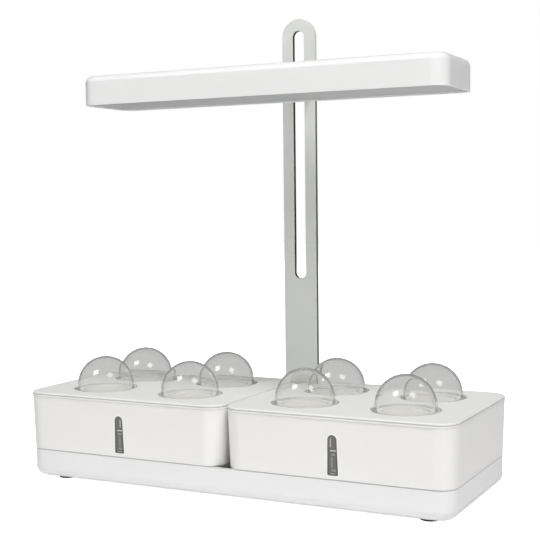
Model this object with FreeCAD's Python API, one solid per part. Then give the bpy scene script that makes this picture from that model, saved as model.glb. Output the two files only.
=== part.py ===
"""Countertop hydroponic garden: two water tanks in a tray, clear domes, and a lamp on a slotted post.

Millimetres, +Z up, X along the row of tanks, Y from the front to the back.
The origin is on the table, under the middle of the whole garden, from the tanks' front to the knob's back.
"""
import FreeCAD, Part
import math
import os

from FreeCAD import Vector

# Overall layout
tank_length = 214.0
tank_depth = 169.2
tank_gap = 2.0
tank_corner_radius = 18.0
tank_draft = 1.8
foot_gap_height = 4.2
tray_height = 26.5
tank_height = 53.6

# Tray
tray_inset = 0.3
tray_wall = 2.5
tray_floor = 3.0
tray_bottom_fillet = 9.0
tray_rib_height = 3.0
tray_rib_width = 2.5
tray_rib_count = 5
tray_rib_end_gap = 16.0
divider_width = 2.4
divider_height = 14.0
divider_end_gap = 26.0

# Feet
foot_boss_radius = 9.5
foot_boss_height = 2.4
foot_pad_radius = 8.7
foot_pad_seat = 0.8
foot_inset_x = 27.5
foot_inset_y = 24.7

# Tanks
tank_wall = 2.4
tank_floor = 2.4
tank_plug_depth = 20.0
tank_plug_clearance = 0.7
tank_plug_draft = 0.6
tank_shoulder = 1.8
rim_band_height = 2.2
rim_band_outset = 0.35
tank_foot_fillet = 0.8

# Water windows
window_width_bottom = 10.1
window_width_top = 8.6
window_height = 35.2
window_rise = 3.7
window_bottom_radius = 1.2
window_flange = 4.0
window_flange_bottom = 1.6
window_plate = 1.6
window_lens_recess = 0.25
window_lens_clearance = 0.12
gasket_thickness = 0.8
gasket_ring_width = 1.5

# Lids
lid_thickness = 2.0
lid_edge_fillet = 0.8
lid_rib_height = 5.0
lid_rib_width = 1.6
lid_rib_clearance = 0.5
hole_spacing_x = 96.0
hole_spacing_y = 72.4
hole_row_offset_y = 2.2
recess_depth = 3.0
recess_wall = 2.0
recess_floor_thickness = 2.0
basket_ledge_width = 7.5

# Baskets and seed plugs
basket_flange_clearance = 0.7
basket_flange_thickness = 1.5
basket_hole_clearance = 0.9
basket_wall = 1.2
basket_height = 43.0
basket_bottom_radius = 17.0
basket_slot_count = 8
basket_slot_width = 3.0
basket_slot_height = 20.0
basket_slot_rise = 6.0
basket_drain_radius = 2.6
basket_drain_ring_radius = 9.0
sponge_height = 24.0
sponge_clearance = 0.35
sponge_top_drop = 0.3
sponge_seed_radius = 2.0
sponge_seed_depth = 9.0

# Domes
dome_radius = 27.2
dome_wall = 1.2
dome_skirt_height = 5.2
dome_flange_width = 2.5
dome_flange_clearance = 1.3
dome_flange_thickness = 1.2

# Post
post_width = 36.0
post_thickness = 4.5
post_gap_behind_tanks = 2.1
post_top_height = 449.0
slot_width = 12.0
slot_bottom_height = 189.2
slot_top_height = 437.2
socket_wall = 3.7
socket_side_wall = 8.0
socket_corner_radius = 4.0
post_clearance = 0.05
post_screw_radius = 2.0
post_screw_offset = 10.0
post_screw_head_radius = 3.8
post_screw_head_height = 2.2
post_screw_drive_radius = 1.2
post_screw_drive_depth = 1.2
post_screw_end_gap = 0.5
screw_fit = 0.02
screw_hole_clearance = 0.2

# Lamp
lamp_length = 377.0
lamp_depth = 84.5
lamp_height = 29.2
lamp_bottom_height = 364.1
lamp_corner_radius = 15.0
lamp_top_fillet = 7.0
lamp_wall = 2.0
diffuser_thickness = 2.0
diffuser_recess = 1.8
diffuser_groove_depth = 1.0
diffuser_groove_play = 0.05
board_length = 350.0
board_depth = 56.0
board_thickness = 1.6
standoff_height = 7.8
standoff_radius = 4.0
led_rows = 3
led_columns = 21
led_pitch_x = 16.0
led_pitch_y = 16.0
led_size_x = 3.5
led_size_y = 2.8
led_height = 0.75
board_screw_radius = 1.5
board_screw_head_radius = 2.8
board_screw_head_height = 1.6
board_screw_length = 6.0
board_screw_inset_x = 14.0
board_screw_inset_y = 4.5
board_hole_clearance = 0.1
board_corner_radius = 6.0

# Lamp arm and clamp
arm_length = 25.0
arm_width = 30.0
arm_height = 20.0
arm_edge_fillet = 2.0
arm_play = 0.1
tongue_height = 16.0
tongue_side_play = 0.3
tongue_short_of_post = 0.4
clamp_bolt_radius = 2.5
clamp_bolt_hole_clearance = 0.3
clamp_nut_radius = 4.0
clamp_nut_length = 8.0
clamp_nut_depth = 6.0
clamp_bolt_room = 4.0
clamp_bolt_end = 2.0
clamp_thread_play = 0.05
washer_radius = 9.0
washer_thickness = 1.6
washer_play = 0.1
knob_radius = 10.5
knob_thickness = 13.0
knob_groove_count = 8
knob_groove_radius = 2.6
knob_groove_circle_play = 1.2
knob_edge_fillet = 1.2
knob_bolt_depth = 9.0
arm_screw_radius = 2.0
arm_screw_spacing = 20.0
arm_screw_depth = 10.0
arm_screw_head_radius = 3.6
arm_screw_head_height = 2.4
arm_screw_end_gap = 0.5

# Power button, control board and power inlet, all in the lamp
button_x = 115.0
button_from_rear = 22.0
button_radius = 6.0
button_play = 0.2
button_stand_out = 1.0
button_flange_radius = 7.4
button_flange_thickness = 0.9
button_flange_play = 0.1
button_stem_radius = 1.6
button_stem_length = 0.4
button_edge_fillet = 0.5
button_switch_gap = 1.0
control_board_length = 44.0
control_board_depth = 26.0
control_board_thickness = 1.2
control_board_drop = 4.6
control_boss_radius = 2.6
control_boss_inset = 3.6
control_screw_radius = 1.0
control_screw_head_radius = 1.9
control_screw_head_height = 0.8
control_screw_length = 4.0
switch_size = 6.0
switch_part_overlap = 0.2
control_chip_size = 6.0
control_chip_height = 1.4
control_chip_from_button = 11.0
control_chip_forward = 6.0
inlet_x = 152.0
inlet_bore_radius = 2.75
inlet_barrel_radius = 4.0
inlet_body_width = 9.0
inlet_body_height = 9.0
inlet_body_length = 11.0
inlet_height_above_lamp_bottom = 10.5
inlet_pin_radius = 1.0
inlet_bore_depth = 9.0
inlet_play = 0.05
inlet_pin_recess = 0.8

# Heights and places worked out from the sizes above
tray_bottom_z = foot_gap_height
seam_z = tray_bottom_z + tray_height
rim_z = seam_z + tank_height
lid_top_z = rim_z + lid_thickness
recess_floor_z = lid_top_z - recess_depth
recess_radius = dome_radius + dome_flange_width + dome_flange_clearance
basket_hole_radius = recess_radius - basket_ledge_width
flange_top_z = recess_floor_z + basket_flange_thickness
plug_bottom_z = seam_z - tank_plug_depth
tank_pitch = tank_length + tank_gap
tanks_to_knob = post_gap_behind_tanks + post_thickness + washer_play + washer_thickness + knob_thickness
overall_depth = rim_band_outset + tank_depth + tanks_to_knob
tank_front_y = rim_band_outset - overall_depth / 2
tank_middle_y = tank_front_y + tank_depth / 2
tank_rear_y = tank_front_y + tank_depth
window_bottom_z = seam_z + window_rise
post_front_y = tank_rear_y + post_gap_behind_tanks
post_rear_y = post_front_y + post_thickness
lamp_rear_y = post_front_y - arm_length
lamp_front_y = lamp_rear_y - lamp_depth
lamp_middle_y = (lamp_front_y + lamp_rear_y) / 2
lamp_top_z = lamp_bottom_height + lamp_height
lamp_ceiling_z = lamp_top_z - lamp_wall
arm_middle_z = lamp_bottom_height + lamp_height / 2
board_top_z = lamp_ceiling_z - standoff_height
board_bottom_z = board_top_z - board_thickness
button_y = lamp_rear_y - button_from_rear
control_top_z = lamp_ceiling_z - control_board_drop


def box(x0, x1, y0, y1, z0, z1):
    """A plain block between six planes."""
    return Part.makeBox(x1 - x0, y1 - y0, z1 - z0, Vector(x0, y0, z0))


def post_cylinder(radius, x, y, z0, z1):
    """An upright round bar."""
    return Part.makeCylinder(radius, z1 - z0, Vector(x, y, z0), Vector(0, 0, 1))


def y_cylinder(radius, x, z, y0, y1):
    """A round bar that lies along Y."""
    return Part.makeCylinder(radius, y1 - y0, Vector(x, y0, z), Vector(0, 1, 0))


def rounded_outline(area, inset, z):
    """A closed wire: the rounded rectangle 'area' pulled in by 'inset' at height z."""
    x0, x1, y0, y1, radius = area
    x0 += inset
    x1 -= inset
    y0 += inset
    y1 -= inset
    radius = max(radius - inset, 0.6)
    half = radius * (1 - math.sqrt(0.5))
    corners = [
        (x1 - radius, y0, x1 - half, y0 + half, x1, y0 + radius),
        (x1, y1 - radius, x1 - half, y1 - half, x1 - radius, y1),
        (x0 + radius, y1, x0 + half, y1 - half, x0, y1 - radius),
        (x0, y0 + radius, x0 + half, y0 + half, x0 + radius, y0),
    ]
    edges = []
    for index, corner in enumerate(corners):
        start_x, start_y, mid_x, mid_y, end_x, end_y = corner
        next_x, next_y = corners[(index + 1) % 4][:2]
        start = Vector(start_x, start_y, z)
        middle = Vector(mid_x, mid_y, z)
        end = Vector(end_x, end_y, z)
        edges.append(Part.Arc(start, middle, end).toShape())
        edges.append(Part.LineSegment(end, Vector(next_x, next_y, z)).toShape())
    return Part.Wire(edges)


def rounded_block(area, inset, z0, z1):
    """An upright block with rounded corners."""
    face = Part.Face(rounded_outline(area, inset, z0))
    return face.extrude(Vector(0, 0, z1 - z0))


def drafted_block(area, inset_low, z0, inset_high, z1):
    """A block whose walls lean evenly from one inset to another."""
    low = rounded_outline(area, inset_low, z0)
    high = rounded_outline(area, inset_high, z1)
    return Part.makeLoft([low, high], True, True)


def edges_at_height(shape, z):
    """All edges that lie flat at height z."""
    found = []
    for edge in shape.Edges:
        bounds = edge.BoundBox
        if abs(bounds.ZMin - z) < 1e-4 and abs(bounds.ZMax - z) < 1e-4:
            found.append(edge)
    return found


def stadium_outline(half_width, z0, z1, y):
    """An upright slot shape with round ends, in the plane at y."""
    left_low = Vector(-half_width, y, z0 + half_width)
    left_high = Vector(-half_width, y, z1 - half_width)
    right_high = Vector(half_width, y, z1 - half_width)
    right_low = Vector(half_width, y, z0 + half_width)
    return Part.Wire([
        Part.LineSegment(left_low, left_high).toShape(),
        Part.Arc(left_high, Vector(0, y, z1), right_high).toShape(),
        Part.LineSegment(right_high, right_low).toShape(),
        Part.Arc(right_low, Vector(0, y, z0), left_low).toShape(),
    ])


def stadium_bar(half_width, z0, z1, y0, y1):
    """A bar along Y with the slot shape as its section."""
    face = Part.Face(stadium_outline(half_width, z0, z1, y0))
    return face.extrude(Vector(0, y1 - y0, 0))


def tank_area(middle_x):
    """The plan of one tank at its rim."""
    half_x = tank_length / 2
    return (middle_x - half_x, middle_x + half_x, tank_front_y, tank_rear_y, tank_corner_radius)


def row_area():
    """The plan of the whole row of tanks where it meets the tray."""
    half_x = tank_pitch / 2 + tank_length / 2 - tank_draft
    front_y = tank_front_y + tank_draft
    rear_y = tank_rear_y - tank_draft
    return (-half_x, half_x, front_y, rear_y, tank_corner_radius - tank_draft)


def lamp_area():
    """The plan of the lamp."""
    half = lamp_length / 2
    return (-half, half, lamp_front_y, lamp_rear_y, lamp_corner_radius)


def hole_centres(middle_x):
    """The four planting holes of one lid: front left, front right, rear left, rear right."""
    centres = []
    for step_y in (-0.5, 0.5):
        for step_x in (-0.5, 0.5):
            x = middle_x + step_x * hole_spacing_x
            y = tank_middle_y + hole_row_offset_y + step_y * hole_spacing_y
            centres.append((x, y))
    return centres


def foot_centres():
    """The four feet, in from the corners of the tray."""
    x0, x1, y0, y1, radius = row_area()
    centres = []
    for x in (x0 + foot_inset_x, x1 - foot_inset_x):
        for y in (y0 + foot_inset_y, y1 - foot_inset_y):
            centres.append((x, y))
    return centres


def socket_block(extra, z0, z1):
    """The block behind the tray that takes the foot of the post."""
    half = post_width / 2 + socket_side_wall + extra
    rear_wall_y = row_area()[3] - tray_inset - tray_wall
    area = (-half, half, rear_wall_y, post_rear_y + socket_wall + extra, socket_corner_radius)
    return rounded_block(area, 0, z0, z1)


def post_screw_places():
    """Where the two screws cross the foot of the post."""
    z = (tray_bottom_z + tray_floor + seam_z) / 2
    return [(-post_screw_offset, z), (post_screw_offset, z)]


def make_base_tray():
    """The open tray with its rounded bottom edge, floor ribs, foot bosses and post socket."""
    area = row_area()
    outer = rounded_block(area, tray_inset, tray_bottom_z, seam_z)
    outer = outer.makeFillet(tray_bottom_fillet, edges_at_height(outer, tray_bottom_z))
    floor_z = tray_bottom_z + tray_floor
    hollow_inset = tray_inset + tray_wall
    hollow = rounded_block(area, hollow_inset, floor_z, seam_z + 1)
    hollow = hollow.makeFillet(tray_bottom_fillet - tray_wall, edges_at_height(hollow, floor_z))
    x0, x1, y0, y1, radius = area
    tray = outer.cut(hollow)
    socket = socket_block(0, tray_bottom_z + tray_rib_height, seam_z)
    tray = tray.fuse(socket.cut(hollow))
    pocket_half = post_width / 2 + post_clearance
    pocket = box(-pocket_half, pocket_half, post_front_y - post_clearance,
                 post_rear_y + post_clearance, floor_z + tray_rib_height, seam_z + 1)
    tray = tray.cut(pocket)
    rib_y0 = y0 + tray_rib_end_gap
    rib_y1 = y1 - tray_rib_end_gap
    for index in range(tray_rib_count):
        share = (index + 1) / (tray_rib_count + 1)
        x = x0 + share * (x1 - x0)
        half = tray_rib_width / 2
        tray = tray.fuse(box(x - half, x + half, rib_y0, rib_y1, floor_z - 1, floor_z + tray_rib_height))
    divider = box(-divider_width / 2, divider_width / 2, y0 + divider_end_gap, y1 - divider_end_gap,
                  floor_z - 1, floor_z + divider_height)
    tray = tray.fuse(divider)
    for x, y in foot_centres():
        tray = tray.fuse(post_cylinder(foot_boss_radius, x, y, tray_bottom_z - foot_boss_height,
                                       tray_bottom_z + 1))
        tray = tray.cut(post_cylinder(foot_pad_radius, x, y, tray_bottom_z - foot_boss_height - 1,
                                      tray_bottom_z - foot_boss_height + foot_pad_seat))
    for x, z in post_screw_places():
        tray = tray.cut(y_cylinder(post_screw_radius + screw_hole_clearance, x, z, post_rear_y,
                                   post_rear_y + socket_wall + 1))
    return tray.removeSplitter()


def make_rubber_feet():
    """Four soft pads, one glued into each foot boss."""
    pads = []
    top = tray_bottom_z - foot_boss_height + foot_pad_seat
    for x, y in foot_centres():
        pads.append(post_cylinder(foot_pad_radius, x, y, 0, top))
    return Part.makeCompound(pads)


def make_post():
    """The flat bar with a round top and a long slot."""
    foot_z = tray_bottom_z + tray_floor + tray_rib_height
    half = post_width / 2
    bar = stadium_bar(half, foot_z - post_width, post_top_height, post_front_y, post_rear_y)
    bar = bar.cut(box(-post_width, post_width, post_front_y - 1, post_rear_y + 1,
                      foot_z - 2 * post_width, foot_z))
    slot = stadium_bar(slot_width / 2, slot_bottom_height, slot_top_height,
                       post_front_y - 1, post_rear_y + 1)
    bar = bar.cut(slot)
    for x, z in post_screw_places():
        bar = bar.cut(y_cylinder(post_screw_radius, x, z, post_front_y - 1, post_rear_y + 1))
    return bar


def make_post_screws():
    """Two screws from behind, through the socket into the post."""
    screws = []
    head_y = post_rear_y + socket_wall
    for x, z in post_screw_places():
        shank = y_cylinder(post_screw_radius - screw_fit, x, z, post_front_y + post_screw_end_gap, head_y)
        head = y_cylinder(post_screw_head_radius, x, z, head_y, head_y + post_screw_head_height)
        screw = shank.fuse(head).removeSplitter()
        head_end_y = head_y + post_screw_head_height
        drive = y_cylinder(post_screw_drive_radius, x, z, head_end_y - post_screw_drive_depth, head_end_y + 1)
        screws.append(screw.cut(drive))
    return Part.makeCompound(screws)


def window_outline(middle_x, y, grow, z_low, z_high):
    """The water window: flat bottom with small corners, sides that close in, round top."""
    half_low = window_width_bottom / 2 + grow
    half_high = window_width_top / 2 + grow
    corner = window_bottom_radius
    spring_z = z_high - half_high
    lean = (half_low - half_high) / (spring_z - z_low)
    left_side = Vector(middle_x - half_low + lean * corner, y, z_low + corner)
    right_side = Vector(middle_x + half_low - lean * corner, y, z_low + corner)
    left_foot = Vector(middle_x - half_low + corner, y, z_low)
    right_foot = Vector(middle_x + half_low - corner, y, z_low)
    turn = corner * (1 - math.sqrt(0.5))
    left_turn = Vector(middle_x - half_low + turn, y, z_low + turn)
    right_turn = Vector(middle_x + half_low - turn, y, z_low + turn)
    left_top = Vector(middle_x - half_high, y, spring_z)
    right_top = Vector(middle_x + half_high, y, spring_z)
    crown = Vector(middle_x, y, z_high)
    return Part.Wire([
        Part.LineSegment(left_foot, right_foot).toShape(),
        Part.Arc(right_foot, right_turn, right_side).toShape(),
        Part.LineSegment(right_side, right_top).toShape(),
        Part.Arc(right_top, crown, left_top).toShape(),
        Part.LineSegment(left_top, left_side).toShape(),
        Part.Arc(left_side, left_turn, left_foot).toShape(),
    ])


def window_bar(middle_x, grow, y0, y1, grow_low, grow_high):
    """A bar along Y with the window as its section, grown by the given margins."""
    outline = window_outline(middle_x, y0, grow, window_bottom_z - grow_low,
                             window_bottom_z + window_height + grow_high)
    return Part.Face(outline).extrude(Vector(0, y1 - y0, 0))


def lean_at(z):
    """How far the tank's wall has come in at height z."""
    return tank_draft * (rim_z - z) / tank_height


def window_inner_y():
    """The flat inner seat of the window: the innermost point of the front wall behind it."""
    return tank_front_y + lean_at(window_bottom_z - window_flange_bottom) + tank_wall


def make_tank(middle_x):
    """A water tank: leaning walls, a rim band, a narrower foot that drops into the tray."""
    area = tank_area(middle_x)
    body = drafted_block(area, tank_draft, seam_z, 0, rim_z)
    body = body.makeFillet(tank_foot_fillet, edges_at_height(body, seam_z))
    band = rounded_block(area, -rim_band_outset, rim_z - rim_band_height, rim_z)
    plug_inset = tank_draft + tray_inset + tray_wall + tank_plug_clearance
    plug = drafted_block(area, plug_inset + tank_plug_draft, plug_bottom_z, plug_inset, seam_z + 1)
    shoulder_z = seam_z + tank_shoulder
    hollow = drafted_block(area, lean_at(shoulder_z) + tank_wall, shoulder_z, tank_wall, rim_z)
    mouth = rounded_block(area, tank_wall, rim_z, rim_z + 1)
    lower_hollow = drafted_block(area, plug_inset + tank_plug_draft + tank_wall,
                                 plug_bottom_z + tank_floor, plug_inset + tank_wall, shoulder_z + 1)
    pad_half = window_width_bottom / 2 + window_flange + 1
    pad_y = window_inner_y()
    pad = box(middle_x - pad_half, middle_x + pad_half, tank_front_y + tank_draft, pad_y,
              shoulder_z, window_bottom_z + window_height + window_flange + 1)
    tank = body.fuse([band, plug])
    tank = tank.cut(hollow.fuse([mouth, lower_hollow]))
    tank = tank.fuse(pad)
    opening = window_bar(middle_x, 0, tank_front_y - 1, pad_y + 1, 0, 0)
    return tank.cut(opening).removeSplitter()


def make_window_gasket(middle_x):
    """A flat seal between the tank's wall and the window plate."""
    y0 = window_inner_y()
    y1 = y0 + gasket_thickness
    outer = window_bar(middle_x, gasket_ring_width, y0, y1, gasket_ring_width, gasket_ring_width)
    inner = window_bar(middle_x, window_lens_clearance, y0 - 1, y1 + 1, window_lens_clearance,
                       window_lens_clearance)
    return outer.cut(inner)


def make_window(middle_x):
    """The clear window: a plate inside the tank with a lens that fills the slot, sloped like the wall."""
    y0 = window_inner_y() + gasket_thickness
    y1 = y0 + window_plate
    half = window_width_bottom / 2 + window_flange
    z0 = window_bottom_z - window_flange_bottom
    z1 = window_bottom_z + window_height + window_flange
    plate = box(middle_x - half, middle_x + half, y0, y1, z0, z1)
    lens = window_bar(middle_x, -window_lens_clearance, tank_front_y, y0 + 0.2,
                      -window_lens_clearance, -window_lens_clearance)
    sunk = drafted_block(tank_area(middle_x), tank_draft + window_lens_recess, seam_z,
                         window_lens_recess, rim_z)
    return plate.fuse(lens.common(sunk)).removeSplitter()


def make_lid(middle_x):
    """A flat lid with four stepped holes and a rib that finds the tank's mouth."""
    area = tank_area(middle_x)
    plate = rounded_block(area, 0, rim_z, lid_top_z)
    plate = plate.makeFillet(lid_edge_fillet, edges_at_height(plate, lid_top_z))
    rib_outer = tank_wall + lid_rib_clearance
    rib = rounded_block(area, rib_outer, rim_z - lid_rib_height, rim_z + 0.5)
    rib = rib.cut(rounded_block(area, rib_outer + lid_rib_width, rim_z - lid_rib_height - 1, rim_z + 1))
    lid = plate.fuse(rib)
    cup_bottom_z = recess_floor_z - recess_floor_thickness
    for x, y in hole_centres(middle_x):
        lid = lid.fuse(post_cylinder(recess_radius + recess_wall, x, y, cup_bottom_z, rim_z + 0.5))
    for x, y in hole_centres(middle_x):
        lid = lid.cut(post_cylinder(recess_radius, x, y, recess_floor_z, lid_top_z + 1))
        lid = lid.cut(post_cylinder(basket_hole_radius, x, y, cup_bottom_z - 1, recess_floor_z + 1))
    return lid.removeSplitter()


def basket_outer_radius(z):
    """The outside of the tapered basket at height z."""
    top = basket_hole_radius - basket_hole_clearance
    share = (recess_floor_z - z) / basket_height
    return top + (basket_bottom_radius - top) * share


def make_basket(x, y):
    """A planting basket: a flange that lies in the lid, a slotted cup below it."""
    bottom_z = recess_floor_z - basket_height
    top_radius = basket_outer_radius(recess_floor_z)
    floor_z = bottom_z + basket_wall
    cup = Part.makeCone(basket_bottom_radius, top_radius, basket_height, Vector(x, y, bottom_z))
    flange = post_cylinder(recess_radius - basket_flange_clearance, x, y, recess_floor_z, flange_top_z)
    inside_low = basket_outer_radius(floor_z) - basket_wall
    inside_top = basket_outer_radius(flange_top_z) - basket_wall
    inside = Part.makeCone(inside_low, inside_top, flange_top_z - floor_z, Vector(x, y, floor_z))
    basket = cup.fuse(flange).cut(inside)
    basket = basket.cut(post_cylinder(inside_top, x, y, flange_top_z - 0.001, flange_top_z + 1))
    slot_low = bottom_z + basket_slot_rise
    for index in range(basket_slot_count):
        turn = 360.0 * (index + 0.5) / basket_slot_count
        slot = box(0, recess_radius, -basket_slot_width / 2, basket_slot_width / 2, slot_low,
                   slot_low + basket_slot_height)
        slot.rotate(Vector(0, 0, 0), Vector(0, 0, 1), turn)
        slot.translate(Vector(x, y, 0))
        basket = basket.cut(slot)
    for index in range(basket_slot_count):
        turn = 2 * math.pi * index / basket_slot_count
        drain_x = x + basket_drain_ring_radius * math.cos(turn)
        drain_y = y + basket_drain_ring_radius * math.sin(turn)
        basket = basket.cut(post_cylinder(basket_drain_radius, drain_x, drain_y, bottom_z - 1, floor_z + 1))
    basket = basket.cut(post_cylinder(basket_drain_radius, x, y, bottom_z - 1, floor_z + 1))
    return basket.removeSplitter()


def make_sponge(x, y):
    """A tapered seed plug with a hole for the seed."""
    top_z = flange_top_z - sponge_top_drop
    bottom_z = top_z - sponge_height
    top_radius = basket_outer_radius(top_z) - basket_wall - sponge_clearance
    bottom_radius = basket_outer_radius(bottom_z) - basket_wall - sponge_clearance
    plug = Part.makeCone(bottom_radius, top_radius, sponge_height, Vector(x, y, bottom_z))
    return plug.cut(post_cylinder(sponge_seed_radius, x, y, top_z - sponge_seed_depth, top_z + 1))


def make_dome(x, y):
    """A clear dome: half a ball on a short skirt, with a thin flange at its foot."""
    centre_z = flange_top_z + dome_skirt_height
    inner_radius = dome_radius - dome_wall
    flange_radius = dome_radius + dome_flange_width
    foot_z = flange_top_z
    section = [
        (flange_radius, foot_z),
        (flange_radius, foot_z + dome_flange_thickness),
        (dome_radius, foot_z + dome_flange_thickness),
        (dome_radius, centre_z),
        (0, centre_z + dome_radius),
        (0, centre_z + inner_radius),
        (inner_radius, centre_z),
        (inner_radius, foot_z),
    ]
    points = [Vector(x + across, y, z) for across, z in section]
    slant = math.sqrt(0.5)
    outer_mid = Vector(x + dome_radius * slant, y, centre_z + dome_radius * slant)
    inner_mid = Vector(x + inner_radius * slant, y, centre_z + inner_radius * slant)
    edges = []
    for index, point in enumerate(points):
        following = points[(index + 1) % len(points)]
        if index == 3:
            edges.append(Part.Arc(point, outer_mid, following).toShape())
        elif index == 5:
            edges.append(Part.Arc(point, inner_mid, following).toShape())
        else:
            edges.append(Part.LineSegment(point, following).toShape())
    face = Part.Face(Part.Wire(edges))
    return face.revolve(Vector(x, y, 0), Vector(0, 0, 1), 360)


def standoff_places():
    """The six bosses and screws that hold the light board."""
    half_x = board_length / 2 - board_screw_inset_x
    half_y = board_depth / 2 - board_screw_inset_y
    places = []
    for x in (-half_x, 0, half_x):
        for y in (lamp_middle_y - half_y, lamp_middle_y + half_y):
            places.append((x, y))
    return places


def control_boss_places():
    """The two bosses and screws that hold the control board."""
    half_x = control_board_length / 2 - control_boss_inset
    return [(button_x - half_x, button_y), (button_x + half_x, button_y)]


def arm_screw_places():
    """Where the two screws go from the lamp into its arm."""
    half = arm_screw_spacing / 2
    return [(-half, arm_middle_z), (half, arm_middle_z)]


def make_lamp_housing():
    """The lamp's white shell: round corners, a soft top edge, open below."""
    area = lamp_area()
    outer = rounded_block(area, 0, lamp_bottom_height, lamp_top_z)
    outer = outer.makeFillet(lamp_top_fillet, edges_at_height(outer, lamp_top_z))
    inner = rounded_block(area, lamp_wall, lamp_bottom_height - 1, lamp_ceiling_z)
    inner = inner.makeFillet(lamp_top_fillet - lamp_wall, edges_at_height(inner, lamp_ceiling_z))
    housing = outer.cut(inner)
    groove_z = lamp_bottom_height + diffuser_recess
    groove = rounded_block(area, lamp_wall - diffuser_groove_depth, groove_z,
                           groove_z + diffuser_thickness + 2 * diffuser_groove_play)
    housing = housing.cut(groove)
    for x, y in standoff_places():
        housing = housing.fuse(post_cylinder(standoff_radius, x, y, board_top_z, lamp_ceiling_z + 0.5))
    for x, y in control_boss_places():
        housing = housing.fuse(post_cylinder(control_boss_radius, x, y, control_top_z, lamp_ceiling_z + 0.5))
    for x, y in standoff_places():
        housing = housing.cut(post_cylinder(board_screw_radius, x, y, board_top_z - 1,
                                            board_top_z + board_screw_length))
    for x, y in control_boss_places():
        housing = housing.cut(post_cylinder(control_screw_radius, x, y, control_top_z - 1,
                                            control_top_z + control_screw_length))
    housing = housing.cut(post_cylinder(button_radius + button_play, button_x, button_y,
                                        lamp_ceiling_z - 1, lamp_top_z + 1))
    inlet_z = lamp_bottom_height + inlet_height_above_lamp_bottom
    housing = housing.cut(y_cylinder(inlet_barrel_radius + inlet_play, inlet_x, inlet_z,
                                     lamp_rear_y - lamp_wall - 1, lamp_rear_y + 1))
    for x, z in arm_screw_places():
        housing = housing.cut(y_cylinder(arm_screw_radius + screw_hole_clearance, x, z,
                                         lamp_rear_y - lamp_wall - 1, lamp_rear_y + 1))
    return housing.removeSplitter()


def make_lamp_diffuser():
    """The flat panel that closes the lamp's underside, sprung into a groove."""
    low = lamp_bottom_height + diffuser_recess + diffuser_groove_play
    inset = lamp_wall - diffuser_groove_depth + diffuser_groove_play
    return rounded_block(lamp_area(), inset, low, low + diffuser_thickness)


def make_led_board():
    """The metal light board with its screw holes."""
    half_x = board_length / 2
    half_y = board_depth / 2
    area = (-half_x, half_x, lamp_middle_y - half_y, lamp_middle_y + half_y, board_corner_radius)
    board = rounded_block(area, 0, board_bottom_z, board_top_z)
    for x, y in standoff_places():
        board = board.cut(post_cylinder(board_screw_radius + board_hole_clearance, x, y,
                                        board_bottom_z - 1, board_top_z + 1))
    return board


def make_led_chips():
    """Rows of small square lights under the board."""
    chips = []
    for row in range(led_rows):
        for column in range(led_columns):
            x = (column - (led_columns - 1) / 2) * led_pitch_x
            y = lamp_middle_y + (row - (led_rows - 1) / 2) * led_pitch_y
            chips.append(box(x - led_size_x / 2, x + led_size_x / 2, y - led_size_y / 2,
                             y + led_size_y / 2, board_bottom_z - led_height, board_bottom_z))
    return Part.makeCompound(chips)


def pan_screw(x, y, seat_z, shank_radius, head_radius, head_height, length):
    """A small screw that points up, with its head under seat_z."""
    shank = post_cylinder(shank_radius, x, y, seat_z, seat_z + length)
    head = post_cylinder(head_radius, x, y, seat_z - head_height, seat_z)
    return shank.fuse(head).removeSplitter()


def make_board_screws():
    """Screws up into the bosses, for the light board and the control board."""
    screws = []
    for x, y in standoff_places():
        screws.append(pan_screw(x, y, board_bottom_z, board_screw_radius - screw_fit,
                                board_screw_head_radius, board_screw_head_height, board_screw_length))
    control_bottom_z = control_top_z - control_board_thickness
    for x, y in control_boss_places():
        screws.append(pan_screw(x, y, control_bottom_z, control_screw_radius - screw_fit,
                                control_screw_head_radius, control_screw_head_height,
                                control_screw_length))
    return Part.makeCompound(screws)


def make_control_board():
    """The small board under the button, with its push switch and a few parts."""
    half_x = control_board_length / 2
    half_y = control_board_depth / 2
    low = control_top_z - control_board_thickness
    board = box(button_x - half_x, button_x + half_x, button_y - half_y, button_y + half_y, low,
                control_top_z)
    for x, y in control_boss_places():
        board = board.cut(post_cylinder(control_screw_radius + board_hole_clearance, x, y, low - 1,
                                        control_top_z + 1))
    switch_top = button_stem_bottom_z() - button_switch_gap
    half_switch = switch_size / 2
    switch = box(button_x - half_switch, button_x + half_switch, button_y - half_switch,
                 button_y + half_switch, control_top_z - switch_part_overlap, switch_top)
    chip_x = button_x + control_chip_from_button
    chip_y = button_y - control_chip_forward
    half_chip = control_chip_size / 2
    chip = box(chip_x - half_chip, chip_x + half_chip, chip_y - half_chip, chip_y + half_chip,
               control_top_z - switch_part_overlap, control_top_z + control_chip_height)
    return board.fuse([switch, chip]).removeSplitter()


def button_flange_top_z():
    """The button's flange stays just under the lamp's ceiling."""
    return lamp_ceiling_z - button_flange_play


def button_stem_bottom_z():
    """The end of the stem that meets the switch."""
    return button_flange_top_z() - button_flange_thickness - button_stem_length


def make_power_button():
    """A round push button with a captive flange."""
    flange_top = button_flange_top_z()
    flange_low = flange_top - button_flange_thickness
    cap = post_cylinder(button_radius, button_x, button_y, flange_low, lamp_top_z + button_stand_out)
    cap = cap.makeFillet(button_edge_fillet, edges_at_height(cap, lamp_top_z + button_stand_out))
    flange = post_cylinder(button_flange_radius, button_x, button_y, flange_low, flange_top)
    stem = post_cylinder(button_stem_radius, button_x, button_y, button_stem_bottom_z(), flange_low + 0.2)
    return cap.fuse([flange, stem]).removeSplitter()


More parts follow.
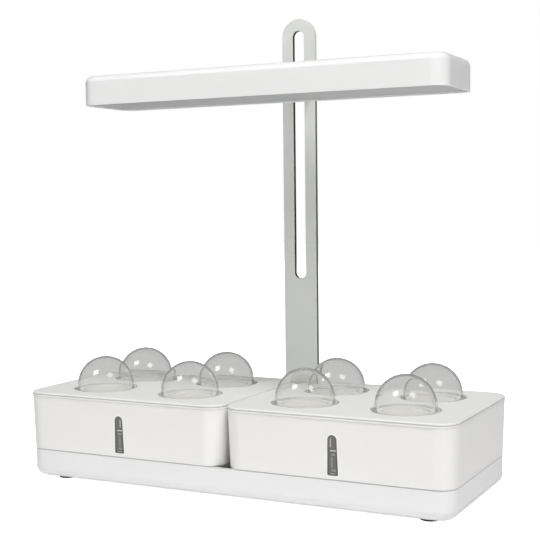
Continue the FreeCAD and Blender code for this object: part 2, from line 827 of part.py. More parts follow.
def make_dc_inlet():
    """The round power inlet in the lamp's rear wall, with its centre pin."""
    z = lamp_bottom_height + inlet_height_above_lamp_bottom
    wall_y = lamp_rear_y - lamp_wall
    body = box(inlet_x - inlet_body_width / 2, inlet_x + inlet_body_width / 2,
               wall_y - inlet_body_length, wall_y, z - inlet_body_height / 2, z + inlet_body_height / 2)
    barrel = y_cylinder(inlet_barrel_radius, inlet_x, z, wall_y - 0.5, lamp_rear_y)
    inlet = body.fuse(barrel)
    inlet = inlet.cut(y_cylinder(inlet_bore_radius, inlet_x, z, lamp_rear_y - inlet_bore_depth,
                                 lamp_rear_y + 1))
    pin = y_cylinder(inlet_pin_radius, inlet_x, z, lamp_rear_y - inlet_bore_depth - 0.5,
                     lamp_rear_y - inlet_pin_recess)
    return inlet.fuse(pin).removeSplitter()


def arm_end_y():
    """The arm's rear face, a hair in front of the post."""
    return post_front_y - arm_play


def make_lamp_arm():
    """The block between lamp and post, with a tongue that runs in the slot."""
    half_x = arm_width / 2
    half_z = arm_height / 2
    block = box(-half_x, half_x, lamp_rear_y, arm_end_y(), arm_middle_z - half_z, arm_middle_z + half_z)
    long_edges = []
    for edge in block.Edges:
        if abs(edge.BoundBox.YLength - (arm_end_y() - lamp_rear_y)) < 1e-4:
            long_edges.append(edge)
    block = block.makeFillet(arm_edge_fillet, long_edges)
    tongue = stadium_bar(slot_width / 2 - tongue_side_play, arm_middle_z - tongue_height / 2,
                         arm_middle_z + tongue_height / 2, arm_end_y() - 1,
                         post_rear_y - tongue_short_of_post)
    arm = block.fuse(tongue)
    bolt_hole = y_cylinder(clamp_bolt_radius + clamp_bolt_hole_clearance, 0, arm_middle_z,
                           lamp_rear_y + clamp_nut_depth - clamp_bolt_room, post_rear_y + 1)
    nut_hole = y_cylinder(clamp_nut_radius + screw_fit, 0, arm_middle_z, lamp_rear_y + clamp_nut_depth,
                          lamp_rear_y + clamp_nut_depth + clamp_nut_length)
    arm = arm.cut(bolt_hole.fuse(nut_hole))
    for x, z in arm_screw_places():
        arm = arm.cut(y_cylinder(arm_screw_radius, x, z, lamp_rear_y - 1, lamp_rear_y + arm_screw_depth))
    return arm.removeSplitter()


def make_arm_screws():
    """Two screws from inside the lamp into the arm."""
    screws = []
    wall_y = lamp_rear_y - lamp_wall
    for x, z in arm_screw_places():
        shank = y_cylinder(arm_screw_radius - screw_fit, x, z, wall_y,
                           lamp_rear_y + arm_screw_depth - arm_screw_end_gap)
        head = y_cylinder(arm_screw_head_radius, x, z, wall_y - arm_screw_head_height, wall_y)
        screws.append(shank.fuse(head).removeSplitter())
    return Part.makeCompound(screws)


def make_clamp_nut():
    """A brass threaded insert held in the arm."""
    low = lamp_rear_y + clamp_nut_depth
    ring = y_cylinder(clamp_nut_radius, 0, arm_middle_z, low, low + clamp_nut_length)
    return ring.cut(y_cylinder(clamp_bolt_radius + clamp_thread_play, 0, arm_middle_z, low - 1,
                               low + clamp_nut_length + 1))


def washer_front_y():
    """The washer's front face, against the back of the post."""
    return post_rear_y + washer_play


def knob_front_y():
    """The knob's front face, against the washer."""
    return washer_front_y() + washer_thickness


def make_clamp_washer():
    """The wide washer between the post and the knob."""
    y0 = washer_front_y()
    disc = y_cylinder(washer_radius, 0, arm_middle_z, y0, y0 + washer_thickness)
    hole = y_cylinder(clamp_bolt_radius + clamp_thread_play, 0, arm_middle_z, y0 - 1,
                      y0 + washer_thickness + 1)
    return disc.cut(hole)


def make_clamp_bolt():
    """The threaded stud in the knob, drawn at its full thread diameter."""
    start = lamp_rear_y + clamp_nut_depth - clamp_bolt_end
    return y_cylinder(clamp_bolt_radius, 0, arm_middle_z, start, knob_front_y() + knob_bolt_depth)


def make_height_knob():
    """The round grip behind the post, with finger grooves."""
    y0 = knob_front_y()
    y1 = y0 + knob_thickness
    knob = y_cylinder(knob_radius, 0, arm_middle_z, y0, y1)
    knob = knob.makeFillet(knob_edge_fillet, [edge for edge in knob.Edges if edge.BoundBox.YMin > y1 - 1e-4])
    for index in range(knob_groove_count):
        turn = 2 * math.pi * index / knob_groove_count
        circle = knob_radius + knob_groove_circle_play
        groove = y_cylinder(knob_groove_radius, circle * math.cos(turn),
                            arm_middle_z + circle * math.sin(turn), y0 - 1, y1 + 1)
        knob = knob.cut(groove)
    bolt_room = y_cylinder(clamp_bolt_radius + screw_fit, 0, arm_middle_z, y0 - 1, y0 + knob_bolt_depth)
    return knob.cut(bolt_room)


def save(name, shape):
    """Write one named piece."""
    shape.exportStep(os.path.join("parts", name + ".step"))


def build_all():
    """Make every piece and write it under its own name."""
    os.makedirs("parts", exist_ok=True)
    save("base_tray", make_base_tray())
    save("rubber_feet", make_rubber_feet())
    save("post", make_post())
    save("post_screws", make_post_screws())
    for side, direction in (("left", -1), ("right", 1)):
        middle_x = direction * tank_pitch / 2
        save("tank_" + side, make_tank(middle_x))
        save("window_" + side, make_window(middle_x))
        save("window_gasket_" + side, make_window_gasket(middle_x))
        save("lid_" + side, make_lid(middle_x))
        for number, (x, y) in enumerate(hole_centres(middle_x), start=1):
            label = "_" + side + "_" + str(number)
            save("basket" + label, make_basket(x, y))
            save("sponge" + label, make_sponge(x, y))
            save("dome" + label, make_dome(x, y))
    save("lamp_housing", make_lamp_housing())
    save("lamp_diffuser", make_lamp_diffuser())
    save("led_board", make_led_board())
    save("led_chips", make_led_chips())
    save("board_screws", make_board_screws())
    save("control_board", make_control_board())
    save("power_button", make_power_button())
    save("dc_inlet", make_dc_inlet())
    save("lamp_arm", make_lamp_arm())
    save("arm_screws", make_arm_screws())
    save("clamp_nut", make_clamp_nut())
    save("clamp_washer", make_clamp_washer())
    save("clamp_bolt", make_clamp_bolt())
    save("height_knob", make_height_knob())


build_all()
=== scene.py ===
"""Countertop hydroponic garden: surfaces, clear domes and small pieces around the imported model.

The file is laid out as an add-on with a panel in the 3D view's sidebar, and runs as a script.
"""
import math
import random

import bmesh
import bpy
from bpy.props import FloatProperty, FloatVectorProperty, IntProperty, PointerProperty
from bpy.types import Operator, Panel, PropertyGroup
from mathutils import Matrix, Vector


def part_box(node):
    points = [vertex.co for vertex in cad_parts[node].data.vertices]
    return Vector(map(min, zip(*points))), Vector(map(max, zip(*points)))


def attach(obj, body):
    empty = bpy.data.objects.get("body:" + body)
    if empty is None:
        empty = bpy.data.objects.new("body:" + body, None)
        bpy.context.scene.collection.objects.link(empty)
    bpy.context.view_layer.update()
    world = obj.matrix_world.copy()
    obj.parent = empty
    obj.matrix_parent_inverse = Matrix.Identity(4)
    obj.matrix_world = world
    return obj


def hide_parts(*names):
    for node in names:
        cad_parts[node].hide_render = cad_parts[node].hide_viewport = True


bl_info = {
    "name": "Countertop Garden",
    "version": (1, 0, 0),
    "blender": (4, 5, 0),
    "location": "View3D > Sidebar > Garden",
    "description": "Builds the looks of a countertop hydroponic garden around its packed model",
    "category": "Add Mesh",
}

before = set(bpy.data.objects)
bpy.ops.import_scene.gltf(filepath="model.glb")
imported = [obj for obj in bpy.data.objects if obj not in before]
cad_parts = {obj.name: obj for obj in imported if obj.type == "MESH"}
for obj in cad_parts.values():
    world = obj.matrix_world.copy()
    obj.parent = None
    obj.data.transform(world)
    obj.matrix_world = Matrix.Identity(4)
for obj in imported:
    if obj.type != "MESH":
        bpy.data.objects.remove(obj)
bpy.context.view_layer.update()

MM = 0.001
SIDES = ("left", "right")
PLACES = [side + "_" + str(number) for side in SIDES for number in (1, 2, 3, 4)]

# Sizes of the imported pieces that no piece's box gives
FOOT_RADIUS = 8.7 * MM
SCREW_HEAD_RADIUS = 3.8 * MM
SCREW_HEAD_HEIGHT = 2.2 * MM
SCREW_SHANK_RADIUS = 1.98 * MM
SLOT_HALF_WIDTH = 6.0 * MM
SLOT_BOTTOM = 189.2 * MM
SLOT_TOP = 437.2 * MM
WALL_LEAN = 1.8 * MM
BAND_OUTSET = 0.35 * MM
BAND_HEIGHT = 2.2 * MM
WINDOW_MIDDLE = 108.0 * MM
WINDOW_BOTTOM = 34.4 * MM
WINDOW_TOP = 69.6 * MM
WINDOW_HALF_LOW = 5.05 * MM
WINDOW_HALF_HIGH = 4.3 * MM
WINDOW_CORNER = 1.2 * MM
LENS_RECESS = 0.25 * MM
FLANGE_WIDTH = 2.5 * MM
FLANGE_THICKNESS = 1.2 * MM
LAMP_CORNER = 15 * MM
BUTTON_HOLE_RADIUS = 6.2 * MM
INLET_HOLE_RADIUS = 4.05 * MM
CHIP_LENGTH = 3.5 * MM
CHIP_WIDTH = 2.8 * MM

# Sizes of details that are only seen
LINE_THICKNESS = 0.12 * MM
RIM_HEIGHT = 0.1 * MM
NODE_SPACING = 200


# Settings

def colour_setting(name, description, default):
    """A colour that the user can change."""
    return FloatVectorProperty(name=name, description=description, subtype="COLOR", min=0, max=1, default=default)


def length_setting(name, description, default, low, high):
    """A length that the user can change; the numbers are in millimetres."""
    return FloatProperty(name=name, description=description, subtype="DISTANCE",
                         default=default * MM, min=low * MM, max=high * MM)


def count_setting(name, description, default, low, high):
    """A whole number that the user can change."""
    return IntProperty(name=name, description=description, default=default, min=low, max=high)


def level_setting(name, description, default, high):
    """A strength that the user can change."""
    return FloatProperty(name=name, description=description, default=default, min=0, max=high)


def power_setting(name, description, default):
    """A light's power in watts."""
    return FloatProperty(name=name, description=description, subtype="POWER", default=default, min=0, max=500)


class GardenColours(PropertyGroup):
    """Colours of the garden's surfaces."""
    tray: colour_setting("Tray", "Colour of the tray's moulded plastic", (0.842, 0.842, 0.842))
    tank: colour_setting("Tanks", "Colour of the water tanks", (0.88, 0.872, 0.855))
    lid: colour_setting("Lids", "Colour of the textured lids", (0.862, 0.864, 0.84))
    lamp: colour_setting("Lamp", "Colour of the lamp's shell", (0.872, 0.872, 0.866))
    panel: colour_setting("Light panel", "Colour of the panel under the lamp", (0.395, 0.407, 0.402))
    post: colour_setting("Post", "Colour of the slotted post", (0.745, 0.76, 0.722))
    # This dark colour also serves as painted shade on the post's outer edges below the lamp
    cut: colour_setting("Cut edges and shade", "Colour of the post's bare cut edges", (0.028, 0.029, 0.027))
    foot: colour_setting("Feet", "Colour of the rubber feet", (0.018, 0.018, 0.018))
    window: colour_setting("Water windows", "Colour of the smoky windows", (0.142, 0.14, 0.132))
    marks: colour_setting("Level lines", "Colour of the lines in the windows", (0.72, 0.72, 0.71))
    dome: colour_setting("Domes", "Tint of the clear domes seen face on", (0.985, 0.983, 0.975))
    basket: colour_setting("Baskets", "Colour of the planting baskets", (0.78, 0.78, 0.77))
    foam: colour_setting("Seed plugs", "Colour of the foam seed plugs", (0.76, 0.75, 0.71))
    knob: colour_setting("Knob", "Colour of the height knob and the button", (0.30, 0.305, 0.31))


class GardenSizes(PropertyGroup):
    """Sizes of the details that are made here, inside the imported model's space."""
    dome_sides: count_setting("Dome sides", "Steps round each dome", 96, 24, 256)
    dome_steps: count_setting("Dome steps", "Steps from a dome's skirt to its top", 24, 8, 64)
    dome_wall: length_setting("Dome wall", "Thickness of a dome's wall", 1.2, 0.4, 3)
    shell_corner_steps: count_setting("Corner steps", "Steps round each corner of the lamp", 16, 4, 48)
    lamp_fillet: length_setting("Lamp top fillet", "Radius of the lamp's soft top edge", 7, 1, 12)
    lamp_wall: length_setting("Lamp wall", "Thickness of the lamp's shell", 2, 1, 4)
    edge_break: length_setting("Edge break", "Width of the small broken edges", 0.35, 0.05, 1)
    rim_width: length_setting("Window rim", "Width of the raised edge round a window", 0.9, 0.3, 2)
    mark_height: length_setting("Line height", "Height of a level line", 0.8, 0.2, 2)
    led_columns: count_setting("Light columns", "Lights along the lamp", 21, 1, 60)
    led_rows: count_setting("Light rows", "Rows of lights", 3, 1, 8)
    foam_seed: count_setting("Foam seed", "Seed of the foam's uneven surface", 7, 0, 1000)


class GardenStage(PropertyGroup):
    """Floor, light and camera."""
    floor_colour: colour_setting("Floor", "Colour of the floor", (0.93, 0.93, 0.93))
    floor_glow: level_setting("Floor glow", "How much the floor washes out to white", 1.0, 1)
    backdrop: level_setting("Backdrop", "Brightness of the backdrop seen through the domes", 0.58, 1)
    surround: level_setting("Surround", "Brightness of the room seen in reflections", 0.14, 2)
    sky_strength: level_setting("Room light", "Strength of the even light from all around", 0.03, 4)
    key_power: power_setting("Key light", "Power of the square light at the left", 30.0)
    fill_power: power_setting("Fill light", "Power of the square light near the camera", 22.4)
    main_power: power_setting("Main light", "Power of the wide light high at the right", 95.0)
    upper_power: power_setting("Upper light", "Power of the wide light high in front", 13.2)
    front_power: power_setting("Front light", "Power of the wide light low in front", 31.0)
    rear_power: power_setting("Rear light", "Power of the wide weak light behind", 24.0)
    lens: FloatProperty(name="Lens", description="Camera lens", subtype="DISTANCE_CAMERA",
                        default=76.58, min=10, max=300)


# Node trees

class Graph:
    """A node tree with short ways to add nodes to it."""

    def __init__(self, tree):
        self.tree = tree

    def fill(self, node, inputs):
        """Gives a node's inputs their values; a value that is a socket is linked."""
        for label, value in inputs.items():
            if isinstance(value, bpy.types.NodeSocket):
                self.tree.links.new(value, node.inputs[label])
            else:
                node.inputs[label].default_value = value
        return node

    def add(self, kind, inputs=None, **settings):
        """A new node with its settings and inputs."""
        node = self.tree.nodes.new(kind)
        node.location.x = NODE_SPACING * len(self.tree.nodes)
        for name, value in settings.items():
            setattr(node, name, value)
        return self.fill(node, inputs or {})

    def math(self, operation, first, second=0.0, third=None, clamp=False):
        """The result of a Math node."""
        values = {index: value for index, value in enumerate((first, second, third)) if value is not None}
        return self.add("ShaderNodeMath", values, operation=operation, use_clamp=clamp).outputs[0]

    def noise(self, vector, scale, detail=3.0, roughness=0.5):
        """The factor of a Noise node."""
        return self.add("ShaderNodeTexNoise", {
            "Vector": vector, "Scale": scale, "Detail": detail, "Roughness": roughness}).outputs[0]

    def place(self):
        """The piece's own coordinates, in metres."""
        return self.add("ShaderNodeTexCoord").outputs["Object"]

    def stretched(self, vector, scale):
        """Coordinates scaled by a different amount along each axis."""
        return self.add("ShaderNodeMapping", {"Vector": vector, "Scale": scale}).outputs[0]

    def parts(self, vector):
        """The X, Y and Z of a vector."""
        return self.add("ShaderNodeSeparateXYZ", {0: vector}).outputs

    def brightened(self, colour, amount):
        """A colour times a factor."""
        return self.add("ShaderNodeVectorMath", {0: colour, "Scale": amount}, operation="SCALE").outputs[0]

    def marked(self, name):
        """The value of an attribute that some of the piece's faces carry."""
        return self.add("ShaderNodeAttribute", attribute_name=name).outputs["Fac"]

    def bump(self, height, depth, strength=1.0):
        """A bumped normal, with the depth in metres."""
        return self.add("ShaderNodeBump", {"Height": height, "Distance": depth, "Strength": strength}).outputs[0]

    def mix_shader(self, share, first, second):
        """Two shaders mixed by a share."""
        return self.add("ShaderNodeMixShader", {0: share, 1: first, 2: second}).outputs[0]

    def shared(self, kind, values):
        """The outputs of a shared shader group with its own values."""
        return self.add("ShaderNodeGroup", values, node_tree=shared_group(kind)).outputs


def new_group(name, inputs, outputs):
    """A shader group's graph, its inputs and its end node; a default that is a tuple makes a colour input."""
    tree = bpy.data.node_groups.new(name, "ShaderNodeTree")
    for label, default in inputs.items():
        kind = "NodeSocketColor" if isinstance(default, tuple) else "NodeSocketFloat"
        tree.interface.new_socket(name=label, in_out="INPUT", socket_type=kind).default_value = default
    for label in outputs:
        kind = "NodeSocketColor" if label == "Colour" else "NodeSocketFloat"
        tree.interface.new_socket(name=label, in_out="OUTPUT", socket_type=kind)
    graph = Graph(tree)
    return graph, graph.add("NodeGroupInput").outputs, graph.add("NodeGroupOutput")


def moulded_group():
    """Injection-moulded plastic: faint flow marks, a fine grain and slightly uneven gloss."""
    graph, given, end = new_group("Moulded plastic", {
        "Colour": (0.8, 0.8, 0.8, 1), "Colour change": 0.02, "Grain scale": 1400.0, "Grain depth": 0.3,
        "Roughness": 0.4, "Roughness change": 0.08}, ("Colour", "Roughness", "Height"))
    place = graph.place()
    flow = graph.noise(graph.stretched(place, (1.0, 1.0, 2.4)), 9.0, 2.0)
    patches = graph.noise(place, 46.0)
    grain = graph.noise(place, given["Grain scale"], 2.0, 0.6)
    blend = graph.math("ADD", graph.math("MULTIPLY", flow, 0.65), graph.math("MULTIPLY", patches, 0.35))
    centred = graph.math("SUBTRACT", blend, 0.5)
    change = graph.math("MULTIPLY_ADD", centred, given["Colour change"], 1.0)
    graph.fill(end, {
        "Colour": graph.brightened(given["Colour"], change),
        "Roughness": graph.math("MULTIPLY_ADD", centred, given["Roughness change"], given["Roughness"], clamp=True),
        "Height": graph.math("MULTIPLY", grain, given["Grain depth"])})
    return graph.tree


def metal_group():
    """Metal with fine lines drawn along Z and a faint cloudy coat."""
    graph, given, end = new_group("Drawn metal", {
        "Colour": (0.6, 0.6, 0.6, 1), "Line strength": 0.06, "Roughness": 0.38}, ("Colour", "Roughness", "Height"))
    place = graph.place()
    lines = graph.noise(graph.stretched(place, (1.0, 1.0, 0.02)), 2600.0, 2.0, 0.7)
    clouds = graph.noise(place, 30.0)
    centred = graph.math("SUBTRACT", lines, 0.5)
    change = graph.math("MULTIPLY_ADD", centred, given["Line strength"], 1.0)
    clouded = graph.math("MULTIPLY_ADD", graph.math("SUBTRACT", clouds, 0.5), 0.04, change)
    graph.fill(end, {
        "Colour": graph.brightened(given["Colour"], clouded),
        "Roughness": graph.math("MULTIPLY_ADD", centred, 0.16, given["Roughness"], clamp=True),
        "Height": lines})
    return graph.tree


def edge_group():
    """How near a point lies to a hard outer edge, from 0 to 1, for a painted highlight along the edges."""
    graph, given, end = new_group("Handled edges", {"Width": 0.6 * MM}, ("Edge",))
    bevel = graph.add("ShaderNodeBevel", {"Radius": given["Width"]}, samples=4)
    shape = graph.add("ShaderNodeNewGeometry")
    dot = graph.add("ShaderNodeVectorMath", {0: bevel.outputs[0], 1: shape.outputs["Normal"]},
                    operation="DOT_PRODUCT")
    turned = graph.math("SUBTRACT", 1.0, dot.outputs["Value"])
    graph.fill(end, {"Edge": graph.math("MULTIPLY", turned, 4.0, clamp=True)})
    return graph.tree


def foam_group():
    """Open foam: two sizes of cells, with painted shade in the pits."""
    graph, given, end = new_group("Foam cells", {"Colour": (0.7, 0.7, 0.7, 1), "Cell scale": 900.0},
                                  ("Colour", "Height"))
    place = graph.place()
    cells = graph.add("ShaderNodeTexVoronoi", {"Vector": place, "Scale": given["Cell scale"]})
    dents = graph.noise(place, 320.0, 3.0, 0.6)
    height = graph.math("MULTIPLY_ADD", cells.outputs["Distance"], 0.6, graph.math("MULTIPLY", dents, 0.4))
    # Painted shade: lower points of the foam are darker
    shade = graph.math("MULTIPLY_ADD", height, 0.5, 0.74)
    graph.fill(end, {"Colour": graph.brightened(given["Colour"], shade), "Height": height})
    return graph.tree


def ripple_group():
    """Clear moulded plastic: a long soft ripple and a few faint smudges."""
    graph, given, end = new_group("Clear moulding", {"Ripple scale": 60.0, "Smudge": 0.04},
                                  ("Roughness", "Height"))
    place = graph.place()
    ripple = graph.noise(place, given["Ripple scale"], 1.0)
    marks = graph.noise(graph.stretched(place, (1.0, 1.0, 0.4)), 110.0, 4.0)
    worn = graph.math("SUBTRACT", marks, 0.55, clamp=True)
    graph.fill(end, {"Roughness": graph.math("MULTIPLY", worn, given["Smudge"]), "Height": ripple})
    return graph.tree


def seam_group():
    """Painted shade along a joint between two mouldings: a dark line on upright walls only, as a factor for the
    colour.
    """
    graph, given, end = new_group("Seam line", {"Height": 0.0, "Half width": 0.5 * MM, "Darkness": 0.6}, ("Shade",))
    away = graph.math("ABSOLUTE", graph.math("SUBTRACT", graph.parts(graph.place())["Z"], given["Height"]))
    inside = graph.math("SUBTRACT", 1.0, graph.math("DIVIDE", away, given["Half width"]))
    near = graph.math("MULTIPLY", inside, 2.5, clamp=True)
    facing = graph.parts(graph.add("ShaderNodeNewGeometry").outputs["Normal"])
    upright = graph.math("LESS_THAN", graph.math("ABSOLUTE", facing["Z"]), 0.85)
    amount = graph.math("MULTIPLY", graph.math("MULTIPLY", near, upright), given["Darkness"])
    graph.fill(end, {"Shade": graph.math("SUBTRACT", 1.0, amount)})
    return graph.tree


def sheen_group():
    """Window plastic: a painted highlight as a pale upright streak in the upper part and a faint wide one below, and
    painted shade on its sides.
    """
    graph, given, end = new_group("Window sheen", {"Colour": (0.1, 0.1, 0.1, 1)}, ("Colour",))
    place = graph.parts(graph.place())
    across = graph.math("SUBTRACT", graph.math("ABSOLUTE", place["X"]), WINDOW_MIDDLE)
    soft_end = 1.2 * MM
    total = 1.0
    # Each painted highlight streak: its middle across the window, half width, bottom and top in mm, and how much it
    # adds
    for middle, half_width, low, high, amount in ((-1.6, 0.7, 58.4, 67.0, 3.6), (-0.6, 1.5, 40.6, 51.4, 0.8)):
        away = graph.math("ABSOLUTE", graph.math("SUBTRACT", across, middle * MM))
        near = graph.math("SUBTRACT", 1.0, graph.math("DIVIDE", away, half_width * MM), clamp=True)
        rise = graph.math("DIVIDE", graph.math("SUBTRACT", place["Z"], low * MM), soft_end, clamp=True)
        fall = graph.math("DIVIDE", graph.math("SUBTRACT", high * MM, place["Z"]), soft_end, clamp=True)
        streak = graph.math("MULTIPLY", graph.math("MULTIPLY", rise, fall), near)
        total = graph.math("MULTIPLY_ADD", streak, amount, total)
    # Painted shade: the window darkens towards its sides
    side = graph.math("SUBTRACT", graph.math("ABSOLUTE", across), 2.4 * MM)
    dark = graph.math("DIVIDE", side, 2.0 * MM, clamp=True)
    shade = graph.math("MULTIPLY", total, graph.math("MULTIPLY_ADD", dark, -0.35, 1.0))
    graph.fill(end, {"Colour": graph.brightened(given["Colour"], shade)})
    return graph.tree


GROUP_MAKERS = {"moulded": moulded_group, "metal": metal_group, "edge": edge_group, "foam": foam_group,
                "ripple": ripple_group, "seam": seam_group, "sheen": sheen_group}
_groups = {}


def shared_group(kind):
    """A shared effect, built once."""
    if kind not in _groups:
        _groups[kind] = GROUP_MAKERS[kind]()
    return _groups[kind]


# Materials

def new_material(name):
    """A material with only a Principled shader and an output."""
    material = bpy.data.materials.new(name)
    material.use_nodes = True
    graph = Graph(material.node_tree)
    graph.tree.nodes.clear()
    shader = graph.add("ShaderNodeBsdfPrincipled")
    return material, graph, shader, graph.add("ShaderNodeOutputMaterial", {"Surface": shader.outputs[0]})


def plastic(name, colour, roughness, grain_scale, grain_depth, change, coat, edge_light, bump_depth, joint_shades):
    """Moulded plastic; edge_light paints a highlight on the outer edges, and each painted shade line at a joint is
    (height, half width, darkness).
    """
    material, graph, shader, output = new_material(name)
    surface = graph.shared("moulded", {
        "Colour": (*colour, 1), "Colour change": change, "Grain scale": grain_scale,
        "Grain depth": grain_depth, "Roughness": roughness})
    base = surface["Colour"]
    # Painted highlight along the outer edges
    if edge_light:
        edge = graph.shared("edge", {"Width": 0.7 * MM})["Edge"]
        base = graph.brightened(base, graph.math("MULTIPLY_ADD", edge, edge_light, 1.0))
    # Painted shade lines at the joints darken the colour
    for height, half_width, darkness in joint_shades:
        line = graph.shared("seam", {"Height": height, "Half width": half_width, "Darkness": darkness})
        base = graph.brightened(base, line["Shade"])
    graph.fill(shader, {
        "Base Color": base, "Roughness": surface["Roughness"], "Normal": graph.bump(surface["Height"], bump_depth),
        "Coat Weight": coat, "Coat Roughness": 0.12})
    return material


def metal(name, colour, roughness):
    """Drawn or turned metal."""
    material, graph, shader, output = new_material(name)
    surface = graph.shared("metal", {"Colour": (*colour, 1), "Line strength": 0.06, "Roughness": roughness})
    graph.fill(shader, {
        "Base Color": surface["Colour"], "Roughness": surface["Roughness"],
        "Normal": graph.bump(surface["Height"], 0.01 * MM), "Metallic": 1.0})
    return material


def coated_plate(name, coat_colour, cut_and_shade_colour):
    """A coated metal plate whose marked faces are dark: the bare cut edges of its slot, and painted shade on its
    outer edges below the lamp.
    """
    material, graph, shader, output = new_material(name)
    surface = graph.shared("metal", {"Colour": (*coat_colour, 1), "Line strength": 0.03, "Roughness": 0.45})
    mix = graph.add("ShaderNodeMix", {"Factor": graph.marked("cut"), "A": surface["Colour"], "B": (*cut_and_shade_colour, 1)},
                    data_type="RGBA")
    graph.fill(shader, {
        "Base Color": mix.outputs["Result"], "Roughness": surface["Roughness"],
        "Normal": graph.bump(surface["Height"], 0.006 * MM), "Specular IOR Level": 0.15})
    return material


def clear_plastic(name, face_on, edge_on):
    """Thin clear plastic with a painted dark outline where it is seen edge on, that lets lamp light through to what
    lies behind it.
    """
    material, graph, shader, output = new_material(name)
    # Painted dark outline: the colour darkens towards edge on, less on the flange
    weight = graph.add("ShaderNodeLayerWeight", {"Blend": 0.5})
    off_flange = graph.math("MULTIPLY_ADD", graph.marked("flange"), -0.35, 1.0)
    tint_and_painted_outline = graph.add("ShaderNodeValToRGB", {"Fac": graph.math("MULTIPLY", weight.outputs["Facing"], off_flange)})
    tint_and_painted_outline.color_ramp.interpolation = "EASE"
    for element, position, colour in zip(tint_and_painted_outline.color_ramp.elements, (0.62, 0.91), (face_on, edge_on)):
        element.position = position
        element.color = (*colour, 1)
    surface = graph.shared("ripple", {"Smudge": 0.01})
    graph.fill(shader, {
        "Base Color": tint_and_painted_outline.outputs["Color"], "Roughness": surface["Roughness"],
        "Normal": graph.bump(surface["Height"], 0.002 * MM, 0.5), "Transmission Weight": 1.0, "IOR": 1.5})
    path = graph.add("ShaderNodeLightPath").outputs
    through = graph.math("MAXIMUM", path["Is Shadow Ray"], path["Is Diffuse Ray"])
    open_shader = graph.add("ShaderNodeBsdfTransparent", {"Color": (0.985, 0.985, 0.985, 1)})
    graph.fill(output, {"Surface": graph.mix_shader(through, shader.outputs[0], open_shader.outputs[0])})
    return material


def smoky_window(name, colour):
    """Smoke-tinted clear plastic over a dark tank, with painted shade towards its edges and a painted upright
    highlight.
    """
    material, graph, shader, output = new_material(name)
    graph.fill(shader, {
        "Base Color": graph.shared("sheen", {"Colour": (*colour, 1)})["Colour"], "Roughness": 0.14,
        "Coat Weight": 0.3, "Coat Roughness": 0.05})
    return material


def foam(name, colour):
    """Open foam of the seed plugs."""
    material, graph, shader, output = new_material(name)
    surface = graph.shared("foam", {"Colour": (*colour, 1)})
    graph.fill(shader, {
        "Base Color": surface["Colour"], "Roughness": 0.95, "Normal": graph.bump(surface["Height"], 0.5 * MM, 0.8)})
    return material


# Each plastic finish: title, its colour or the setting that holds it, roughness, scale and depth of the grain,
# change of colour, weight of the clear coat, and how much lighter its edges are painted as a highlight
PLASTICS = {
    "tray_white": ("Tray plastic", "tray", 0.36, 1100.0, 0.25, 0.018, 0.12, 0.06),
    "tank_white": ("Tank plastic", "tank", 0.42, 1100.0, 0.35, 0.018, 0.05, 0.06),
    "lid_white": ("Lid texture", "lid", 0.62, 760.0, 0.8, 0.03, 0.0, 0.0),
    "lamp_white": ("Lamp plastic", "lamp", 0.34, 1200.0, 0.2, 0.015, 0.15, 0.05),
    "diffuser_grey": ("Light panel", "panel", 0.30, 2400.0, 0.6, 0.02, 0.1, 0.0),
    "foot_rubber": ("Foot rubber", "foot", 0.72, 500.0, 0.8, 0.2, 0.0, 0.0),
    "seal_rubber": ("Seal rubber", (0.08, 0.08, 0.08), 0.65, 600.0, 0.6, 0.1, 0.0, 0.0),
    # Painted highlight: the window's rim is nearly white, lighter than the tank
    "rim_white": ("Window rim", (0.99, 0.985, 0.97), 0.4, 1100.0, 0.2, 0.01, 0.0, 0.0),
    "level_line": ("Level line paint", "marks", 0.5, 900.0, 0.4, 0.05, 0.0, 0.0),
    "faint_line": ("Faint line paint", "marks", 0.5, 900.0, 0.4, 0.05, 0.0, 0.0),
    "basket_grey": ("Basket plastic", "basket", 0.45, 900.0, 0.4, 0.03, 0.0, 0.0),
    "knob_grey": ("Knob plastic", "knob", 0.5, 700.0, 0.8, 0.06, 0.0, 0.35),
    "button_grey": ("Button plastic", "knob", 0.42, 900.0, 0.4, 0.04, 0.1, 0.3),
    "arm_white": ("Arm plastic", (0.86, 0.86, 0.85), 0.42, 1000.0, 0.4, 0.02, 0.05, 0.06),
    "inlet_black": ("Inlet plastic", (0.02, 0.02, 0.02), 0.5, 900.0, 0.5, 0.1, 0.0, 0.0),
    "circuit_green": ("Circuit board", (0.03, 0.22, 0.09), 0.4, 800.0, 0.5, 0.15, 0.3, 0.0),
    "board_aluminium": ("Light board coat", (0.85, 0.85, 0.84), 0.35, 900.0, 0.3, 0.02, 0.0, 0.0),
    "led_body": ("Light body", (0.84, 0.83, 0.80), 0.4, 900.0, 0.2, 0.02, 0.0, 0.0),
    "led_phosphor": ("Light phosphor", (0.85, 0.68, 0.16), 0.3, 2000.0, 0.3, 0.1, 0.4, 0.0),
}
METALS = {
    "screw_steel": ("Screw steel", (0.58, 0.58, 0.57), 0.32),
    "washer_steel": ("Washer steel", (0.62, 0.62, 0.61), 0.28),
    "nut_brass": ("Insert brass", (0.70, 0.52, 0.22), 0.30),
}
FAINT = 0.5


